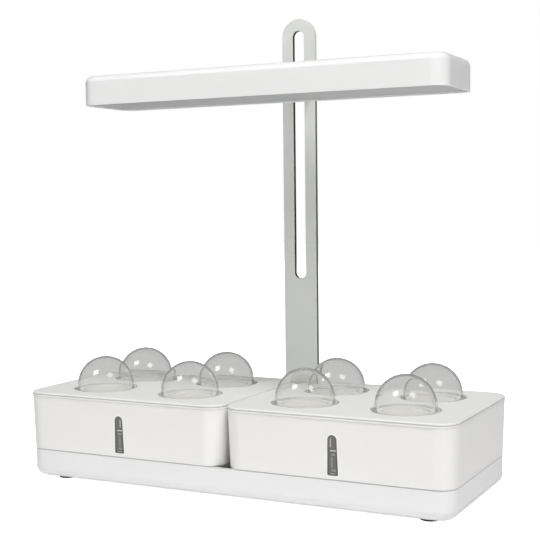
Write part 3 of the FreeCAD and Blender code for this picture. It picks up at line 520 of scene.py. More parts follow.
def make_materials(colours):
    """Every finish of the garden, by its plain name."""
    tray_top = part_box("base_tray")[1].z
    tank_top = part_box("tank_left")[1].z
    wide = 0.55 * MM
    # Painted shade lines at the joints: tray to tank, tank to lid, and under the tank's rim band, as (height, half
    # width, darkness)
    joint_shades = {
        "tray_white": ((tray_top, wide, 0.55),),
        "tank_white": ((tray_top, wide, 0.6), (tank_top, wide, 0.5), (tank_top - BAND_HEIGHT, 0.45 * MM, 0.25)),
        "lid_white": ((tank_top, wide, 0.5),),
    }
    made = {
        "post_metal": coated_plate("Post coating", colours.post, colours.cut),
        "window_grey": smoky_window("Smoky window", colours.window),
        # The dark second colour is the painted outline of the domes seen edge on
        "dome_clear": clear_plastic("Clear dome", colours.dome, (0.16, 0.16, 0.17)),
        "sponge_foam": foam("Seed plug foam", colours.foam),
    }
    for key, (title, tone, *numbers) in PLASTICS.items():
        colour = getattr(colours, tone) if isinstance(tone, str) else tone
        if key == "faint_line":
            colour = [FAINT * value for value in colour]
        bump_depth = (0.06 if key == "lid_white" else 0.03) * MM
        made[key] = plastic(title, colour, *numbers, bump_depth, joint_shades.get(key, ()))
    for key, values in METALS.items():
        made[key] = metal(*values)
    return made


_made = {}


def finish_named(name):
    """A finish by its plain name; all are made on the first call."""
    if not _made:
        _made.update(make_materials(bpy.context.scene.garden_colours))
    return _made[name]


def paint_node(node, name):
    """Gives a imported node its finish."""
    material = finish_named(name)
    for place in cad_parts[node].material_slots:
        place.material = material


# Mesh helpers

def shade_by_angle(bm):
    """Smooth faces with hard edges where they turn sharply."""
    soft_angle = math.radians(32)
    for face in bm.faces:
        face.smooth = True
    for edge in bm.edges:
        edge.smooth = len(edge.link_faces) == 2 and edge.calc_face_angle(0.0) < soft_angle


def object_from_bmesh(name, bm, finish):
    """A new object at the origin from a finished bmesh."""
    bmesh.ops.remove_doubles(bm, verts=bm.verts, dist=1e-7)
    bmesh.ops.recalc_face_normals(bm, faces=bm.faces)
    if bm.calc_volume(signed=True) < 0:
        bmesh.ops.reverse_faces(bm, faces=bm.faces)
    shade_by_angle(bm)
    mesh = bpy.data.meshes.new(name)
    bm.to_mesh(mesh)
    bm.free()
    piece = bpy.data.objects.new(name, mesh)
    bpy.context.scene.collection.objects.link(piece)
    mesh.materials.append(finish_named(finish))
    return piece


def settle(piece):
    """Applies a piece's modifiers and returns it with a plain mesh."""
    bpy.context.view_layer.update()
    graph = bpy.context.evaluated_depsgraph_get()
    mesh = bpy.data.meshes.new_from_object(piece.evaluated_get(graph))
    mesh.name = piece.name
    piece.modifiers.clear()
    piece.data = mesh
    return piece


def seat(piece, body, slot, *nodes):
    """Puts a finished piece on its body, in place of the named nodes."""
    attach(piece, body)
    if nodes:
        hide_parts(*nodes)
    return piece


def mark_faces(mesh, name, value_of):
    """Gives every face a number, which a finish reads as an attribute."""
    mark = mesh.attributes.new(name, "FLOAT", "FACE")
    for face, value in zip(mesh.polygons, mark.data):
        value.value = value_of(face)


def node_box(node):
    """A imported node's lowest, highest and middle points at rest."""
    low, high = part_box(node)
    return low, high, (low + high) / 2


def arc_points(centre, radius, start, stop, steps):
    """Points of an arc; angles in degrees from the first axis."""
    turns = [math.radians(start + (stop - start) * index / steps) for index in range(steps + 1)]
    return [(centre[0] + radius * math.cos(turn), centre[1] + radius * math.sin(turn)) for turn in turns]


def bridge(bm, rings):
    """Faces between each ring of points and the next; a ring of one point is a pole."""
    for low, high in zip(rings, rings[1:]):
        sides = max(len(low), len(high))
        if sides == 1:
            continue
        for index in range(sides):
            following = (index + 1) % sides
            if len(low) == 1:
                bm.faces.new((low[0], high[following], high[index]))
            elif len(high) == 1:
                bm.faces.new((low[index], low[following], high[0]))
            else:
                bm.faces.new((low[index], low[following], high[following], high[index]))


def turned_bmesh(profile, sides, centre=(0, 0, 0)):
    """A turned shape: the closed profile of (radius, height) pairs goes once round the centre's Z axis."""
    bm = bmesh.new()
    rings = []
    for radius, height in profile:
        turns = [2 * math.pi * index / sides for index in range(sides)] if radius > 1e-9 else [0.0]
        rings.append([bm.verts.new((centre[0] + radius * math.cos(turn), centre[1] + radius * math.sin(turn),
                                    centre[2] + height)) for turn in turns])
    bridge(bm, rings + rings[:1])
    return bm


def capped_bmesh(rings):
    """A closed shape through rings of points, with a flat cap at each end."""
    bm = bmesh.new()
    rings = [[bm.verts.new(point) for point in ring] for ring in rings]
    bridge(bm, rings)
    bm.faces.new(rings[0])
    bm.faces.new(rings[-1])
    return bm


def rounded_ring(area, inset, z, steps):
    """Points of a rounded rectangle, as many for every inset."""
    x0, x1, y0, y1, radius = area
    radius = max(radius - inset, 0.2 * MM)
    margin = inset + radius
    corners = ((x1 - margin, y0 + margin, -90), (x1 - margin, y1 - margin, 0),
               (x0 + margin, y1 - margin, 90), (x0 + margin, y0 + margin, 180))
    return [(x, y, z) for cx, cy, start in corners
            for x, y in arc_points((cx, cy), radius, start, start + 90, steps)]


def thicken(bm, depth):
    """Gives a flat shape its thickness along Y."""
    grown = bmesh.ops.extrude_face_region(bm, geom=bm.faces[:])
    verts = [item for item in grown["geom"] if isinstance(item, bmesh.types.BMVert)]
    bmesh.ops.translate(bm, verts=verts, vec=(0, depth, 0))


def drill(piece, *cutters):
    """Cuts each cutter's shape out of the piece, then removes the cutters."""
    for cutter in cutters:
        modifier = piece.modifiers.new("Hole", "BOOLEAN")
        modifier.operation = "DIFFERENCE"
        modifier.solver = "EXACT"
        modifier.object = cutter
    settle(piece)
    for cutter in cutters:
        bpy.data.objects.remove(cutter)
    bm = bmesh.new()
    bm.from_mesh(piece.data)
    shade_by_angle(bm)
    bm.to_mesh(piece.data)
    bm.free()
    piece.modifiers.new("Even shading", "WEIGHTED_NORMAL").keep_sharp = True
    return settle(piece)


def round_cutter(radius, centre, axis, length, sides=48):
    """A bar along Y or Z for drilling, centred on a point."""
    bm = turned_bmesh([(0, -length / 2), (radius, -length / 2), (radius, length / 2), (0, length / 2)], sides)
    if axis == "Y":
        bmesh.ops.rotate(bm, verts=bm.verts, matrix=Matrix.Rotation(math.radians(90), 3, "X"))
    bmesh.ops.translate(bm, verts=bm.verts, vec=centre)
    return object_from_bmesh("Cutter", bm, "inlet_black")


# Geometry node trees

def geometry_graph(name, values):
    """A geometry tree's graph and inputs: the piece to repeat, the named values and the finish."""
    tree = bpy.data.node_groups.new(name, "GeometryNodeTree")
    kinds = {int: "NodeSocketInt", float: "NodeSocketFloat", tuple: "NodeSocketVector"}
    tree.interface.new_socket(name="Geometry", in_out="INPUT", socket_type="NodeSocketGeometry")
    tree.interface.new_socket(name="Piece", in_out="INPUT", socket_type="NodeSocketObject")
    for label, default in values.items():
        socket = tree.interface.new_socket(name=label, in_out="INPUT", socket_type=kinds[type(default)])
        socket.default_value = default
    tree.interface.new_socket(name="Finish", in_out="INPUT", socket_type="NodeSocketMaterial")
    tree.interface.new_socket(name="Geometry", in_out="OUTPUT", socket_type="NodeSocketGeometry")
    graph = Graph(tree)
    return graph, graph.add("NodeGroupInput").outputs


def instance_and_close(graph, given, points):
    """Puts the piece on the points, makes it real and gives it its finish."""
    info = graph.add("GeometryNodeObjectInfo", {"Object": given["Piece"]})
    copies = graph.add("GeometryNodeInstanceOnPoints", {"Points": points, "Instance": info.outputs["Geometry"]})
    real = graph.add("GeometryNodeRealizeInstances", {0: copies.outputs[0]})
    painted = graph.add("GeometryNodeSetMaterial", {"Geometry": real.outputs[0], "Material": given["Finish"]})
    graph.add("NodeGroupOutput", {"Geometry": painted.outputs[0]})
    return graph.tree


def make_grid_tree():
    """Copies of a piece on a flat grid of columns and rows."""
    graph, given = geometry_graph("Pieces on a grid", {
        "Columns": 2, "Rows": 2, "Length": 0.1, "Width": 0.1, "Middle": (0, 0, 0)})
    grid = graph.add("GeometryNodeMeshGrid", {
        "Size X": given["Length"], "Size Y": given["Width"],
        "Vertices X": given["Columns"], "Vertices Y": given["Rows"]})
    moved = graph.add("GeometryNodeTransform", {"Geometry": grid.outputs["Mesh"], "Translation": given["Middle"]})
    return instance_and_close(graph, given, moved.outputs[0])


def make_row_tree():
    """Copies of a piece in a straight row from one point to another."""
    graph, given = geometry_graph("Pieces in a row", {"Count": 2, "First": (0, 0, 0), "Last": (0, 0, 0.1)})
    row = graph.add("GeometryNodeMeshLine", mode="END_POINTS")
    graph.fill(row, {"Count": given["Count"], "Start Location": given["First"], "Offset": given["Last"]})
    return instance_and_close(graph, given, row.outputs[0])


_trees = {}


def repeated(name, kind, piece, finish, values):
    """The plain mesh object that a tree makes from one piece, which is then removed."""
    if not _trees:
        _trees.update({"grid": make_grid_tree(), "row": make_row_tree()})
    tree = _trees[kind]
    result = bpy.data.objects.new(name, bpy.data.meshes.new(name))
    bpy.context.scene.collection.objects.link(result)
    modifier = result.modifiers.new("Repeat", "NODES")
    modifier.node_group = tree
    given = dict(values, Piece=piece, Finish=finish_named(finish))
    for item in tree.interface.items_tree:
        if item.item_type == "SOCKET" and item.in_out == "INPUT" and item.name in given:
            modifier[item.identifier] = given[item.name]
    settle(result)
    if not result.data.vertices:
        raise RuntimeError(name + " came out empty")
    bpy.data.objects.remove(piece)
    return result


# The pieces

class PieceOperator:
    """What every piece's operator shares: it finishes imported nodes, then makes its own pieces."""
    bl_options = {"REGISTER", "UNDO"}
    finishes = {}

    def execute(self, context):
        for node, finish in self.finishes.items():
            paint_node(node, finish)
        self.build(context.scene.garden_sizes)
        return {"FINISHED"}

    def build(self, sizes):
        """Makes the finer pieces, where there are any."""


def foot_template(radius, height, break_width):
    """One round rubber foot with broken edges and a ring groove underneath."""
    groove = 0.175 * height
    profile = [(0, 0), (radius * 0.52, 0), (radius * 0.56, groove), (radius * 0.64, groove), (radius * 0.68, 0),
               (radius - 2 * break_width, 0), (radius - 0.6 * break_width, 0.6 * break_width),
               (radius, 2 * break_width), (radius, height - break_width), (radius - break_width, height), (0, height)]
    return object_from_bmesh("Foot", turned_bmesh(profile, 48), "foot_rubber")


def socket_screw(head_radius, head_height, shank_radius, shank_length):
    """A screw whose head stands towards +Y, with a six-sided socket."""
    dome = head_height * 0.35
    profile = [(0, -shank_length), (shank_radius * 0.6, -shank_length), (shank_radius, -shank_length * 0.9),
               (shank_radius, 0), (head_radius, 0), (head_radius, head_height - dome),
               (head_radius * 0.93, head_height - 0.45 * dome), (head_radius * 0.75, head_height), (0, head_height)]
    screw = object_from_bmesh("Screw", turned_bmesh(profile, 36), "screw_steel")
    bottom, top, reach = head_height * 0.4, head_height * 1.5, head_radius * 0.5
    socket = turned_bmesh([(0, bottom), (reach, bottom), (reach, top), (0, top)], 6)
    drill(screw, object_from_bmesh("Socket", socket, "screw_steel"))
    screw.data.transform(Matrix.Rotation(math.radians(-90), 4, "X"))
    return screw


class GARDEN_OT_tray(PieceOperator, Operator):
    """Finish the tray, its four rubber feet and the screws at the post's foot"""
    bl_idname = "garden.tray"
    bl_label = "Tray and feet"
    finishes = {"base_tray": "tray_white"}

    def build(self, sizes):
        low, high, middle = node_box("rubber_feet")
        foot = foot_template(FOOT_RADIUS, high.z - low.z, sizes.edge_break)
        feet = repeated("tray_feet", "grid", foot, "foot_rubber", {
            "Columns": 2, "Rows": 2, "Length": high.x - low.x - 2 * FOOT_RADIUS,
            "Width": high.y - low.y - 2 * FOOT_RADIUS, "Middle": (middle.x, middle.y, low.z)})
        seat(feet, "base", "foot_rubber", "rubber_feet")
        low, high, middle = node_box("post_screws")
        screw = socket_screw(SCREW_HEAD_RADIUS, SCREW_HEAD_HEIGHT, SCREW_SHANK_RADIUS,
                             high.y - low.y - SCREW_HEAD_HEIGHT)
        seat_y = high.y - SCREW_HEAD_HEIGHT
        screws = repeated("post_foot_screws", "row", screw, "screw_steel", {
            "Count": 2, "First": (low.x + SCREW_HEAD_RADIUS, seat_y, middle.z),
            "Last": (high.x - SCREW_HEAD_RADIUS, seat_y, middle.z)})
        seat(screws, "base", "screw_steel", "post_screws")


class GARDEN_OT_post(PieceOperator, Operator):
    """Make the slotted post with finely broken edges"""
    bl_idname = "garden.post"
    bl_label = "Post"

    def build(self, sizes):
        low, high, middle = node_box("post")
        half = (high.x - low.x) / 2
        steps = 28
        outer = [(-half, low.z), (half, low.z)] + arc_points((0, high.z - half), half, 0, 180, steps)
        inner = (arc_points((0, SLOT_TOP - SLOT_HALF_WIDTH), SLOT_HALF_WIDTH, 0, 180, steps)
                 + arc_points((0, SLOT_BOTTOM + SLOT_HALF_WIDTH), SLOT_HALF_WIDTH, 180, 360, steps))
        bm = bmesh.new()
        loops = []
        for outline in (outer, inner):
            verts = [bm.verts.new((x, low.y, z)) for x, z in outline]
            loops += [bm.edges.new((a, b)) for a, b in zip(verts, verts[1:] + verts[:1])]
        bmesh.ops.triangle_fill(bm, edges=loops, use_beauty=True, use_dissolve=False)
        bmesh.ops.dissolve_limit(bm, angle_limit=0.01, verts=bm.verts[:], edges=[
            edge for edge in bm.edges if len(edge.link_faces) == 2])
        thicken(bm, high.y - low.y)
        post = object_from_bmesh("slotted_post", bm, "post_metal")
        bevel = post.modifiers.new("Broken edges", "BEVEL")
        bevel.width = sizes.edge_break
        bevel.segments = 2
        bevel.limit_method = "ANGLE"
        bevel.angle_limit = math.radians(50)
        settle(post)
        self.split_at_lamp(post.data)
        mark_faces(post.data, "cut", self.bareness)
        seat(post, "base", "post_metal", "post")

    def split_at_lamp(self, mesh):
        """Cuts the long faces across where the lamp hides them, so that the painted shade below the lamp's middle
        ends at a face edge.
        """
        low, high, middle = node_box("lamp_housing")
        bm = bmesh.new()
        bm.from_mesh(mesh)
        for height in (low.z, middle.z, high.z):
            everything = bm.verts[:] + bm.edges[:] + bm.faces[:]
            bmesh.ops.bisect_plane(bm, geom=everything, dist=1e-7, plane_no=(0, 0, 1), plane_co=(0, 0, height))
        bm.to_mesh(mesh)
        bm.free()

    def bareness(self, face):
        """How dark a face is made: the slot's bare walls fully, and the outer edges mostly, as painted shade up to
        the lamp's middle.
        """
        if abs(face.normal.y) > 0.5:
            return 0.0
        if abs(face.center.x) < SLOT_HALF_WIDTH * 1.05:
            return 1.0
        # Painted shade from the lamp on the outer edges below its middle
        return 0.8 * (face.center.z < node_box("lamp_housing")[2].z)


class GARDEN_OT_tanks(PieceOperator, Operator):
    """Finish the two water tanks, their seals and windows, and draw the level lines"""
    bl_idname = "garden.tanks"
    bl_label = "Water tanks"
    finishes = {kind + side: finish for side in SIDES for kind, finish in (
        ("tank_", "tank_white"), ("window_gasket_", "seal_rubber"), ("window_", "window_grey"))}

    # Each line: first and last height and how many, width and place across in mm, and its finish
    lines = {
        "full": (56.0, 56.0, 1, 5.6, 0.8, "level_line"),
        "full_marks": (53.3, 52.3, 2, 3.8, 0.7, "faint_line"),
        "low_marks": (39.6, 38.6, 2, 4.0, 1.0, "faint_line"),
        "low": (36.3, 36.3, 1, 4.6, 0.2, "faint_line"),
    }

    def build(self, sizes):
        for side in SIDES:
            body = "water_tank_" + side
            self.draw_lines(side, body, sizes)
            seat(self.rim(side, sizes), body, "tank_white")

    def wall_y(self, side, z):
        """Where the leaning front wall of a tank lies at a height."""
        low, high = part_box("tank_" + side)
        lean = WALL_LEAN * (high.z - z) / (high.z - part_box("base_tray")[1].z)
        return low.y + BAND_OUTSET + lean

    def draw_lines(self, side, body, sizes):
        """Level lines on the window's lens: a long one at the full mark, and short faint ones."""
        middle_x = node_box("window_" + side)[2].x
        on_lens = LENS_RECESS - LINE_THICKNESS
        for label, (first, last, count, width, offset, finish) in self.lines.items():
            thin = 0.6 if finish == "faint_line" else 1.0
            ends = [(middle_x + offset * MM, self.wall_y(side, z * MM) + on_lens, z * MM) for z in (first, last)]
            bar = self.bar(width * MM, sizes.mark_height * thin)
            line = repeated("level_" + label + "_" + side, "row", bar, finish, {
                "Count": count, "First": ends[0], "Last": ends[1]})
            seat(line, body, "tank_white")

    def bar(self, width, height):
        """A thin printed line with soft ends."""
        reach = width / 2 - height / 2
        points = arc_points((reach, 0), height / 2, -90, 90, 6) + arc_points((-reach, 0), height / 2, 90, 270, 6)
        bm = bmesh.new()
        bm.faces.new([bm.verts.new((x, 0, z)) for x, z in points])
        thicken(bm, LINE_THICKNESS)
        return object_from_bmesh("Bar", bm, "level_line")

    def outline(self, side, grow):
        """The window's edge as (x, z) points, grown by a margin."""
        middle_x = node_box("window_" + side)[2].x
        half_low, half_high = WINDOW_HALF_LOW + grow, WINDOW_HALF_HIGH + grow
        corner = WINDOW_CORNER + grow
        points = arc_points((middle_x, WINDOW_TOP + grow - half_high), half_high, 0, 180, 16)
        for cx, start in ((middle_x - half_low + corner, 180), (middle_x + half_low - corner, 270)):
            points += arc_points((cx, WINDOW_BOTTOM - grow + corner), corner, start, start + 90, 6)
        return points

    def rim(self, side, sizes):
        """The thin raised edge moulded round the window, lighter than the tank as a painted highlight."""
        bm = bmesh.new()
        width = sizes.rim_width
        loops = [[bm.verts.new((x, self.wall_y(side, z) + depth, z)) for x, z in self.outline(side, grow)]
                 for grow, depth in ((0, 0), (0.02 * MM, -RIM_HEIGHT), (width - 0.06 * MM, -RIM_HEIGHT), (width, 0))]
        bridge(bm, loops + loops[:1])
        return object_from_bmesh("window_rim_" + side, bm, "rim_white")


class GARDEN_OT_lids(PieceOperator, Operator):
    """Finish the two lids"""
    bl_idname = "garden.lids"
    bl_label = "Lids"
    finishes = {"lid_" + side: "lid_white" for side in SIDES}


class GARDEN_OT_baskets(PieceOperator, Operator):
    """Finish the planting baskets and make their foam seed plugs"""
    bl_idname = "garden.baskets"
    bl_label = "Baskets and seed plugs"
    finishes = {"basket_" + place: "basket_grey" for place in PLACES}

    def build(self, sizes):
        for place in PLACES:
            self.plug(place, sizes)

    def plug(self, place, sizes):
        """A foam plug with a crowned, uneven top and a seed hole."""
        low, high, middle = node_box("sponge_" + place)
        top_radius = (high.x - low.x) / 2
        height = high.z - low.z
        low_radius = top_radius * 0.86
        hole = 2.0 * MM
        profile = [(0, 0), (low_radius - 1 * MM, 0), (low_radius, 1 * MM)]
        profile += [(low_radius + (top_radius - low_radius) * share, height * share)
                    for share in (0.2, 0.4, 0.6, 0.8)]
        profile += [(top_radius - 0.2 * MM, height - 1.6 * MM), (top_radius - 1.4 * MM, height - 0.6 * MM)]
        profile += [(radius * MM, height - 0.2 * MM) for radius in (17, 14, 11, 8, 5.5, 3.6)]
        profile += [(hole + 0.5 * MM, height - 0.3 * MM), (hole, height - 1 * MM), (hole, height - 9 * MM),
                    (0, height - 9 * MM)]
        bm = turned_bmesh(profile, 72, (middle.x, middle.y, low.z))
        dice = random.Random(sizes.foam_seed + sum(ord(letter) for letter in place))
        for vert in bm.verts:
            away = Vector((vert.co.x - middle.x, vert.co.y - middle.y, 0))
            if away.length > hole * 1.6:
                vert.co -= away.normalized() * dice.uniform(0, 0.25 * MM)
                vert.co.z = min(vert.co.z - dice.uniform(0, 0.3 * MM) * (vert.co.z > middle.z), high.z)
        plug = object_from_bmesh("seed_plug_" + place, bm, "sponge_foam")
        seat(plug, "planter_" + place, "sponge_foam", "sponge_" + place)


class GARDEN_OT_domes(PieceOperator, Operator):
    """Make the clear domes"""
    bl_idname = "garden.domes"
    bl_label = "Domes"

    def build(self, sizes):
        for place in PLACES:
            self.dome(place, sizes)

    def dome(self, place, sizes):
        """Half a ball on a skirt, with a flange and a rounded foot."""
        low, high, middle = node_box("dome_" + place)
        flange = (high.x - low.x) / 2
        outer = flange - FLANGE_WIDTH
        inner = outer - sizes.dome_wall
        centre = (0, high.z - low.z - outer)
        thickness = FLANGE_THICKNESS
        soft = 0.3 * MM
        profile = [(inner, soft), (inner + soft, 0), (flange - soft, 0), (flange, soft), (flange, thickness - soft),
                   (flange - soft, thickness), (outer + 0.5 * MM, thickness),
                   (outer + 0.12 * MM, thickness + 0.2 * MM), (outer, thickness + 0.6 * MM)]
        profile += arc_points(centre, outer, 0, 90, sizes.dome_steps)[:-1] + [(0, centre[1] + outer)]
        profile += [(0, centre[1] + inner)] + arc_points(centre, inner, 90, 0, sizes.dome_steps)[1:]
        bm = turned_bmesh(profile, sizes.dome_sides, (middle.x, middle.y, low.z))
        dome = object_from_bmesh("clear_dome_" + place, bm, "dome_clear")
        flange_top = low.z + thickness + 0.4 * MM
        mark_faces(dome.data, "flange", lambda face: float(face.center.z < flange_top))
        seat(dome, "cover_" + place, "dome_clear", "dome_" + place)


class GARDEN_OT_lamp(PieceOperator, Operator):
    """Make the lamp's shell and finish its panel, boards, inlet and arm"""
    bl_idname = "garden.lamp"
    bl_label = "Lamp"
    finishes = {
        "lamp_diffuser": "diffuser_grey", "led_board": "board_aluminium", "board_screws": "screw_steel",
        "control_board": "circuit_green", "dc_inlet": "inlet_black", "lamp_arm": "arm_white",
        "arm_screws": "screw_steel", "clamp_nut": "nut_brass",
    }

    # Each part of a light: (share of its width, share of its height) for each ring, and its finish
    chip_parts = {
        "led_bodies": (((1.0, 0.0), (1.0, 0.7), (0.92, 0.8), (0.74, 0.8), (0.70, 0.66)), "led_body"),
        "led_windows": (((0.68, 0.5), (0.68, 0.80), (0.6, 0.95), (0.4, 1.0)), "led_phosphor"),
    }

    def build(self, sizes):
        self.shell(sizes)
        self.lights(sizes)

    def shell(self, sizes):
        """The lamp's rounded shell, open below, drilled for the button and the inlet."""
        low, high, middle = node_box("lamp_housing")
        wall = sizes.lamp_wall
        fillet = sizes.lamp_fillet
        small = sizes.edge_break
        inside = fillet - wall
        ceiling = high.z - wall
        profile = [(fillet - x, y + high.z - fillet) for x, y in arc_points((0, 0), fillet, 90, 0, 10)]
        profile += [(0, low.z + 2 * small), (small * 0.3, low.z + small * 0.6), (small, low.z),
                    (wall - small, low.z), (wall, low.z + small), (wall, ceiling - inside)]
        profile += [(wall + inside - x, y + ceiling - inside) for x, y in arc_points((0, 0), inside, 0, 90, 6)[1:]]
        area = (low.x, high.x, low.y, high.y, LAMP_CORNER)
        shell = object_from_bmesh("lamp_shell", capped_bmesh([
            rounded_ring(area, inset, z, sizes.shell_corner_steps) for inset, z in profile]), "lamp_white")
        button = node_box("power_button")[2]
        inlet = node_box("dc_inlet")[2]
        drill(shell,
              round_cutter(BUTTON_HOLE_RADIUS, (button.x, button.y, high.z), "Z", 12 * MM),
              round_cutter(INLET_HOLE_RADIUS, (inlet.x, high.y, inlet.z), "Y", 8 * MM))
        seat(shell, "lamp", "lamp_white", "lamp_housing")

    def lights(self, sizes):
        """Rows of small lights: a pale body with a raised yellow window."""
        low, high, middle = node_box("led_chips")
        for label, (shape, finish) in self.chip_parts.items():
            rings = []
            for share, drop in shape:
                x, y, z = CHIP_LENGTH / 2 * share, CHIP_WIDTH / 2 * share, (low.z - high.z) * drop
                rings.append([(-x, -y, z), (x, -y, z), (x, y, z), (-x, y, z)])
            chip = object_from_bmesh("Chip", capped_bmesh(rings), finish)
            chips = repeated(label, "grid", chip, finish, {
                "Columns": sizes.led_columns, "Rows": sizes.led_rows, "Length": high.x - low.x - CHIP_LENGTH,
                "Width": high.y - low.y - CHIP_WIDTH, "Middle": (middle.x, middle.y, high.z)})
            seat(chips, "lamp", "led_yellow", "led_chips")


class GARDEN_OT_clamp(PieceOperator, Operator):
    """Finish the knob, its bolt and washer"""
    bl_idname = "garden.clamp"
    bl_label = "Height knob and clamp"
    finishes = {"clamp_washer": "washer_steel", "clamp_bolt": "screw_steel", "height_knob": "knob_grey"}


class GARDEN_OT_button(PieceOperator, Operator):
    """Finish the power button"""
    bl_idname = "garden.button"
    bl_label = "Power button"
    finishes = {"power_button": "button_grey"}


# Floor, light and camera

CAMERA_PLACE = Vector((0.49394, -0.97487, 0.26519))
CAMERA_YAW = math.radians(26.69)
CAMERA_PITCH = math.radians(3.312)
CAMERA_ROLL = math.radians(-0.6256)
LIT_POINT = Vector((0, 0, 0.15))
LIGHT_DISTANCE = 4.0
SQUARE_LIGHT = 1.35


def camera_axes():
    """The camera's right, up and forward directions."""
    forward = Vector((-math.sin(CAMERA_YAW) * math.cos(CAMERA_PITCH),
                      math.cos(CAMERA_YAW) * math.cos(CAMERA_PITCH), -math.sin(CAMERA_PITCH)))
    level = Vector((math.cos(CAMERA_YAW), math.sin(CAMERA_YAW), 0))
    upright = level.cross(forward)
    right = math.cos(CAMERA_ROLL) * level + math.sin(CAMERA_ROLL) * upright
    up = -math.sin(CAMERA_ROLL) * level + math.cos(CAMERA_ROLL) * upright
    return right, up, forward


def add_light(name, direction, width, height, power, turn=0.0):
    """A soft rectangular light in a direction from the lit point, aimed back at it."""
    data = bpy.data.lights.new(name, "AREA")
    data.shape = "RECTANGLE"
    data.size = width
    data.size_y = height
    data.energy = power
    light = bpy.data.objects.new(name, data)
    place = LIT_POINT + direction * LIGHT_DISTANCE
    aim = (LIT_POINT - place).to_track_quat("-Z", "Y").to_matrix()
    light.matrix_world = Matrix.Translation(place) @ (aim @ Matrix.Rotation(turn, 3, "Z")).to_4x4()
    bpy.context.scene.collection.objects.link(light)
    return light


def direction_from(azimuth, elevation):
    """The direction of a light in degrees: azimuth 0 is straight in front, 90 at the right."""
    turn, rise = math.radians(azimuth), math.radians(elevation)
    return Vector((math.sin(turn) * math.cos(rise), -math.cos(turn) * math.cos(rise), math.sin(rise)))


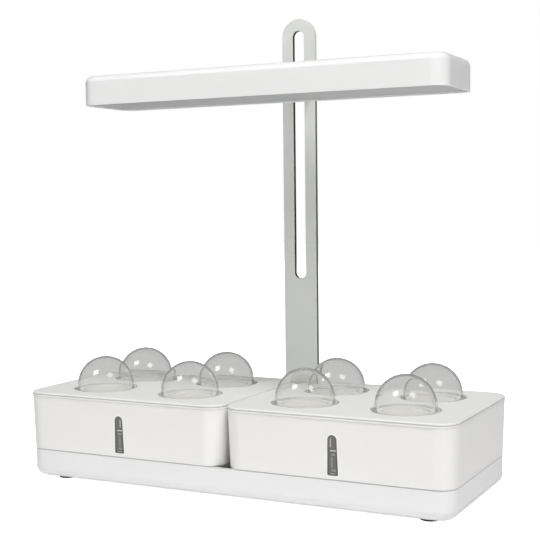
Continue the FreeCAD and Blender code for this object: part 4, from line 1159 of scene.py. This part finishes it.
class GARDEN_OT_stage(Operator):
    """Set the floor, the studio light and the camera"""
    bl_idname = "garden.stage"
    bl_label = "Floor, light and camera"
    bl_options = {"REGISTER", "UNDO"}

    def execute(self, context):
        stage = context.scene.garden_stage
        self.floor(stage)
        self.room(context.scene, stage)
        self.lights(stage)
        self.camera(context.scene, stage)
        context.scene.view_settings.view_transform = "Standard"
        return {"FINISHED"}

    def floor(self, stage):
        """A pale floor that the camera sees washed out to white."""
        bm = bmesh.new()
        bmesh.ops.create_grid(bm, x_segments=8, y_segments=8, size=6.0)
        for face in bm.faces:
            face.smooth = True
        mesh = bpy.data.meshes.new("floor")
        bm.to_mesh(mesh)
        bm.free()
        floor = bpy.data.objects.new("floor", mesh)
        bpy.context.scene.collection.objects.link(floor)
        material, graph, shader, output = new_material("Studio floor")
        shade = graph.math("MULTIPLY_ADD", graph.noise(graph.place(), 3.0, 2.0), 0.01, 0.995)
        colour = graph.add("ShaderNodeRGB").outputs[0]
        colour.default_value = (*stage.floor_colour, 1)
        graph.fill(shader, {
            "Base Color": graph.brightened(colour, shade), "Roughness": 0.9, "Specular IOR Level": 0.1})
        path = graph.add("ShaderNodeLightPath").outputs
        glow = graph.add("ShaderNodeEmission", {
            "Strength": graph.math("MULTIPLY", path["Is Camera Ray"], stage.floor_glow)})
        both = graph.add("ShaderNodeAddShader", {0: shader.outputs[0], 1: glow.outputs[0]})
        behind = graph.add("ShaderNodeEmission", {"Strength": stage.backdrop})
        graph.fill(output, {
            "Surface": graph.mix_shader(path["Is Transmission Ray"], both.outputs[0], behind.outputs[0])})
        mesh.materials.append(material)

    def room(self, scene, stage):
        """A white room, dim as a light and in reflections, and soft grey behind the clear domes."""
        world = bpy.data.worlds.new("Studio room")
        scene.world = world
        world.use_nodes = True
        graph = Graph(world.node_tree)
        graph.tree.nodes.clear()
        path = graph.add("ShaderNodeLightPath").outputs
        dim = graph.math("MULTIPLY_ADD", path["Is Glossy Ray"], stage.surround - stage.sky_strength,
                         stage.sky_strength)
        white = (1, 1, 1, 1)
        seen, lit, behind = [
            graph.add("ShaderNodeBackground", {"Color": colour, "Strength": strength}).outputs[0]
            for colour, strength in ((white, 1.0), ((0.985, 0.99, 1.0, 1), dim), (white, stage.backdrop))]
        through = graph.mix_shader(path["Is Transmission Ray"], lit, behind)
        graph.add("ShaderNodeOutputWorld", {"Surface": graph.mix_shader(path["Is Camera Ray"], through, seen)})

    def lights(self, stage):
        """Two square lights that show in the clear domes, and four wide ones that don't."""
        right, up, forward = camera_axes()
        for name, direction, power in (
                ("Key light", -0.587 * right + 0.699 * up - 0.400 * forward, stage.key_power),
                ("Fill light", 0.342 * right + 0.657 * up - 0.667 * forward, stage.fill_power)):
            add_light(name, direction.normalized(), SQUARE_LIGHT, SQUARE_LIGHT, power, math.radians(45))
        for name, azimuth, elevation, width, height, power in (
                ("Main light", 60, 62, 1.4, 1.4, stage.main_power),
                ("Upper light", 10, 65, 1.6, 1.2, stage.upper_power),
                ("Front light", 10, 8, 2.2, 0.9, stage.front_power),
                ("Rear light", 195, 14, 2.2, 1.2, stage.rear_power)):
            light = add_light(name, direction_from(azimuth, elevation), width, height, power)
            light.visible_camera = False
            light.visible_glossy = False
            light.visible_transmission = False

    def camera(self, scene, stage):
        """The photograph's view."""
        data = bpy.data.cameras.new("Camera")
        data.sensor_width = 36.0
        data.lens = stage.lens
        data.clip_end = 50.0
        camera = bpy.data.objects.new("Camera", data)
        right, up, forward = camera_axes()
        turn = Matrix((right, up, -forward)).transposed()
        camera.matrix_world = Matrix.Translation(CAMERA_PLACE) @ turn.to_4x4()
        scene.collection.objects.link(camera)
        scene.camera = camera


# Panel and registration

PIECES = (GARDEN_OT_tray, GARDEN_OT_post, GARDEN_OT_tanks, GARDEN_OT_lids, GARDEN_OT_baskets, GARDEN_OT_domes,
          GARDEN_OT_lamp, GARDEN_OT_clamp, GARDEN_OT_button, GARDEN_OT_stage)
SETTINGS = {"garden_colours": GardenColours, "garden_sizes": GardenSizes, "garden_stage": GardenStage}


class GARDEN_PT_panel(Panel):
    """Buttons and settings of the garden"""
    bl_idname = "GARDEN_PT_panel"
    bl_label = "Countertop garden"
    bl_space_type = "VIEW_3D"
    bl_region_type = "UI"
    bl_category = "Garden"

    def draw(self, context):
        layout = self.layout
        layout.use_property_split = True
        for operator in PIECES:
            layout.operator(operator.bl_idname)
        for name in SETTINGS:
            group = getattr(context.scene, name)
            box = layout.box()
            for setting in group.__annotations__:
                box.prop(group, setting)


def register():
    """Registers the settings, operators and panel."""
    for entry in (*SETTINGS.values(), *PIECES, GARDEN_PT_panel):
        bpy.utils.register_class(entry)
    for name, group in SETTINGS.items():
        setattr(bpy.types.Scene, name, PointerProperty(type=group))


def unregister():
    """Removes what register added."""
    for name in SETTINGS:
        delattr(bpy.types.Scene, name)
    for entry in reversed((*SETTINGS.values(), *PIECES, GARDEN_PT_panel)):
        bpy.utils.unregister_class(entry)


def main():
    """Builds every piece and the stage."""
    register()
    bpy.ops.garden.tray()
    bpy.ops.garden.post()
    bpy.ops.garden.tanks()
    bpy.ops.garden.lids()
    bpy.ops.garden.baskets()
    bpy.ops.garden.domes()
    bpy.ops.garden.lamp()
    bpy.ops.garden.clamp()
    bpy.ops.garden.button()
    bpy.ops.garden.stage()


if __name__ == "__main__":
    main()
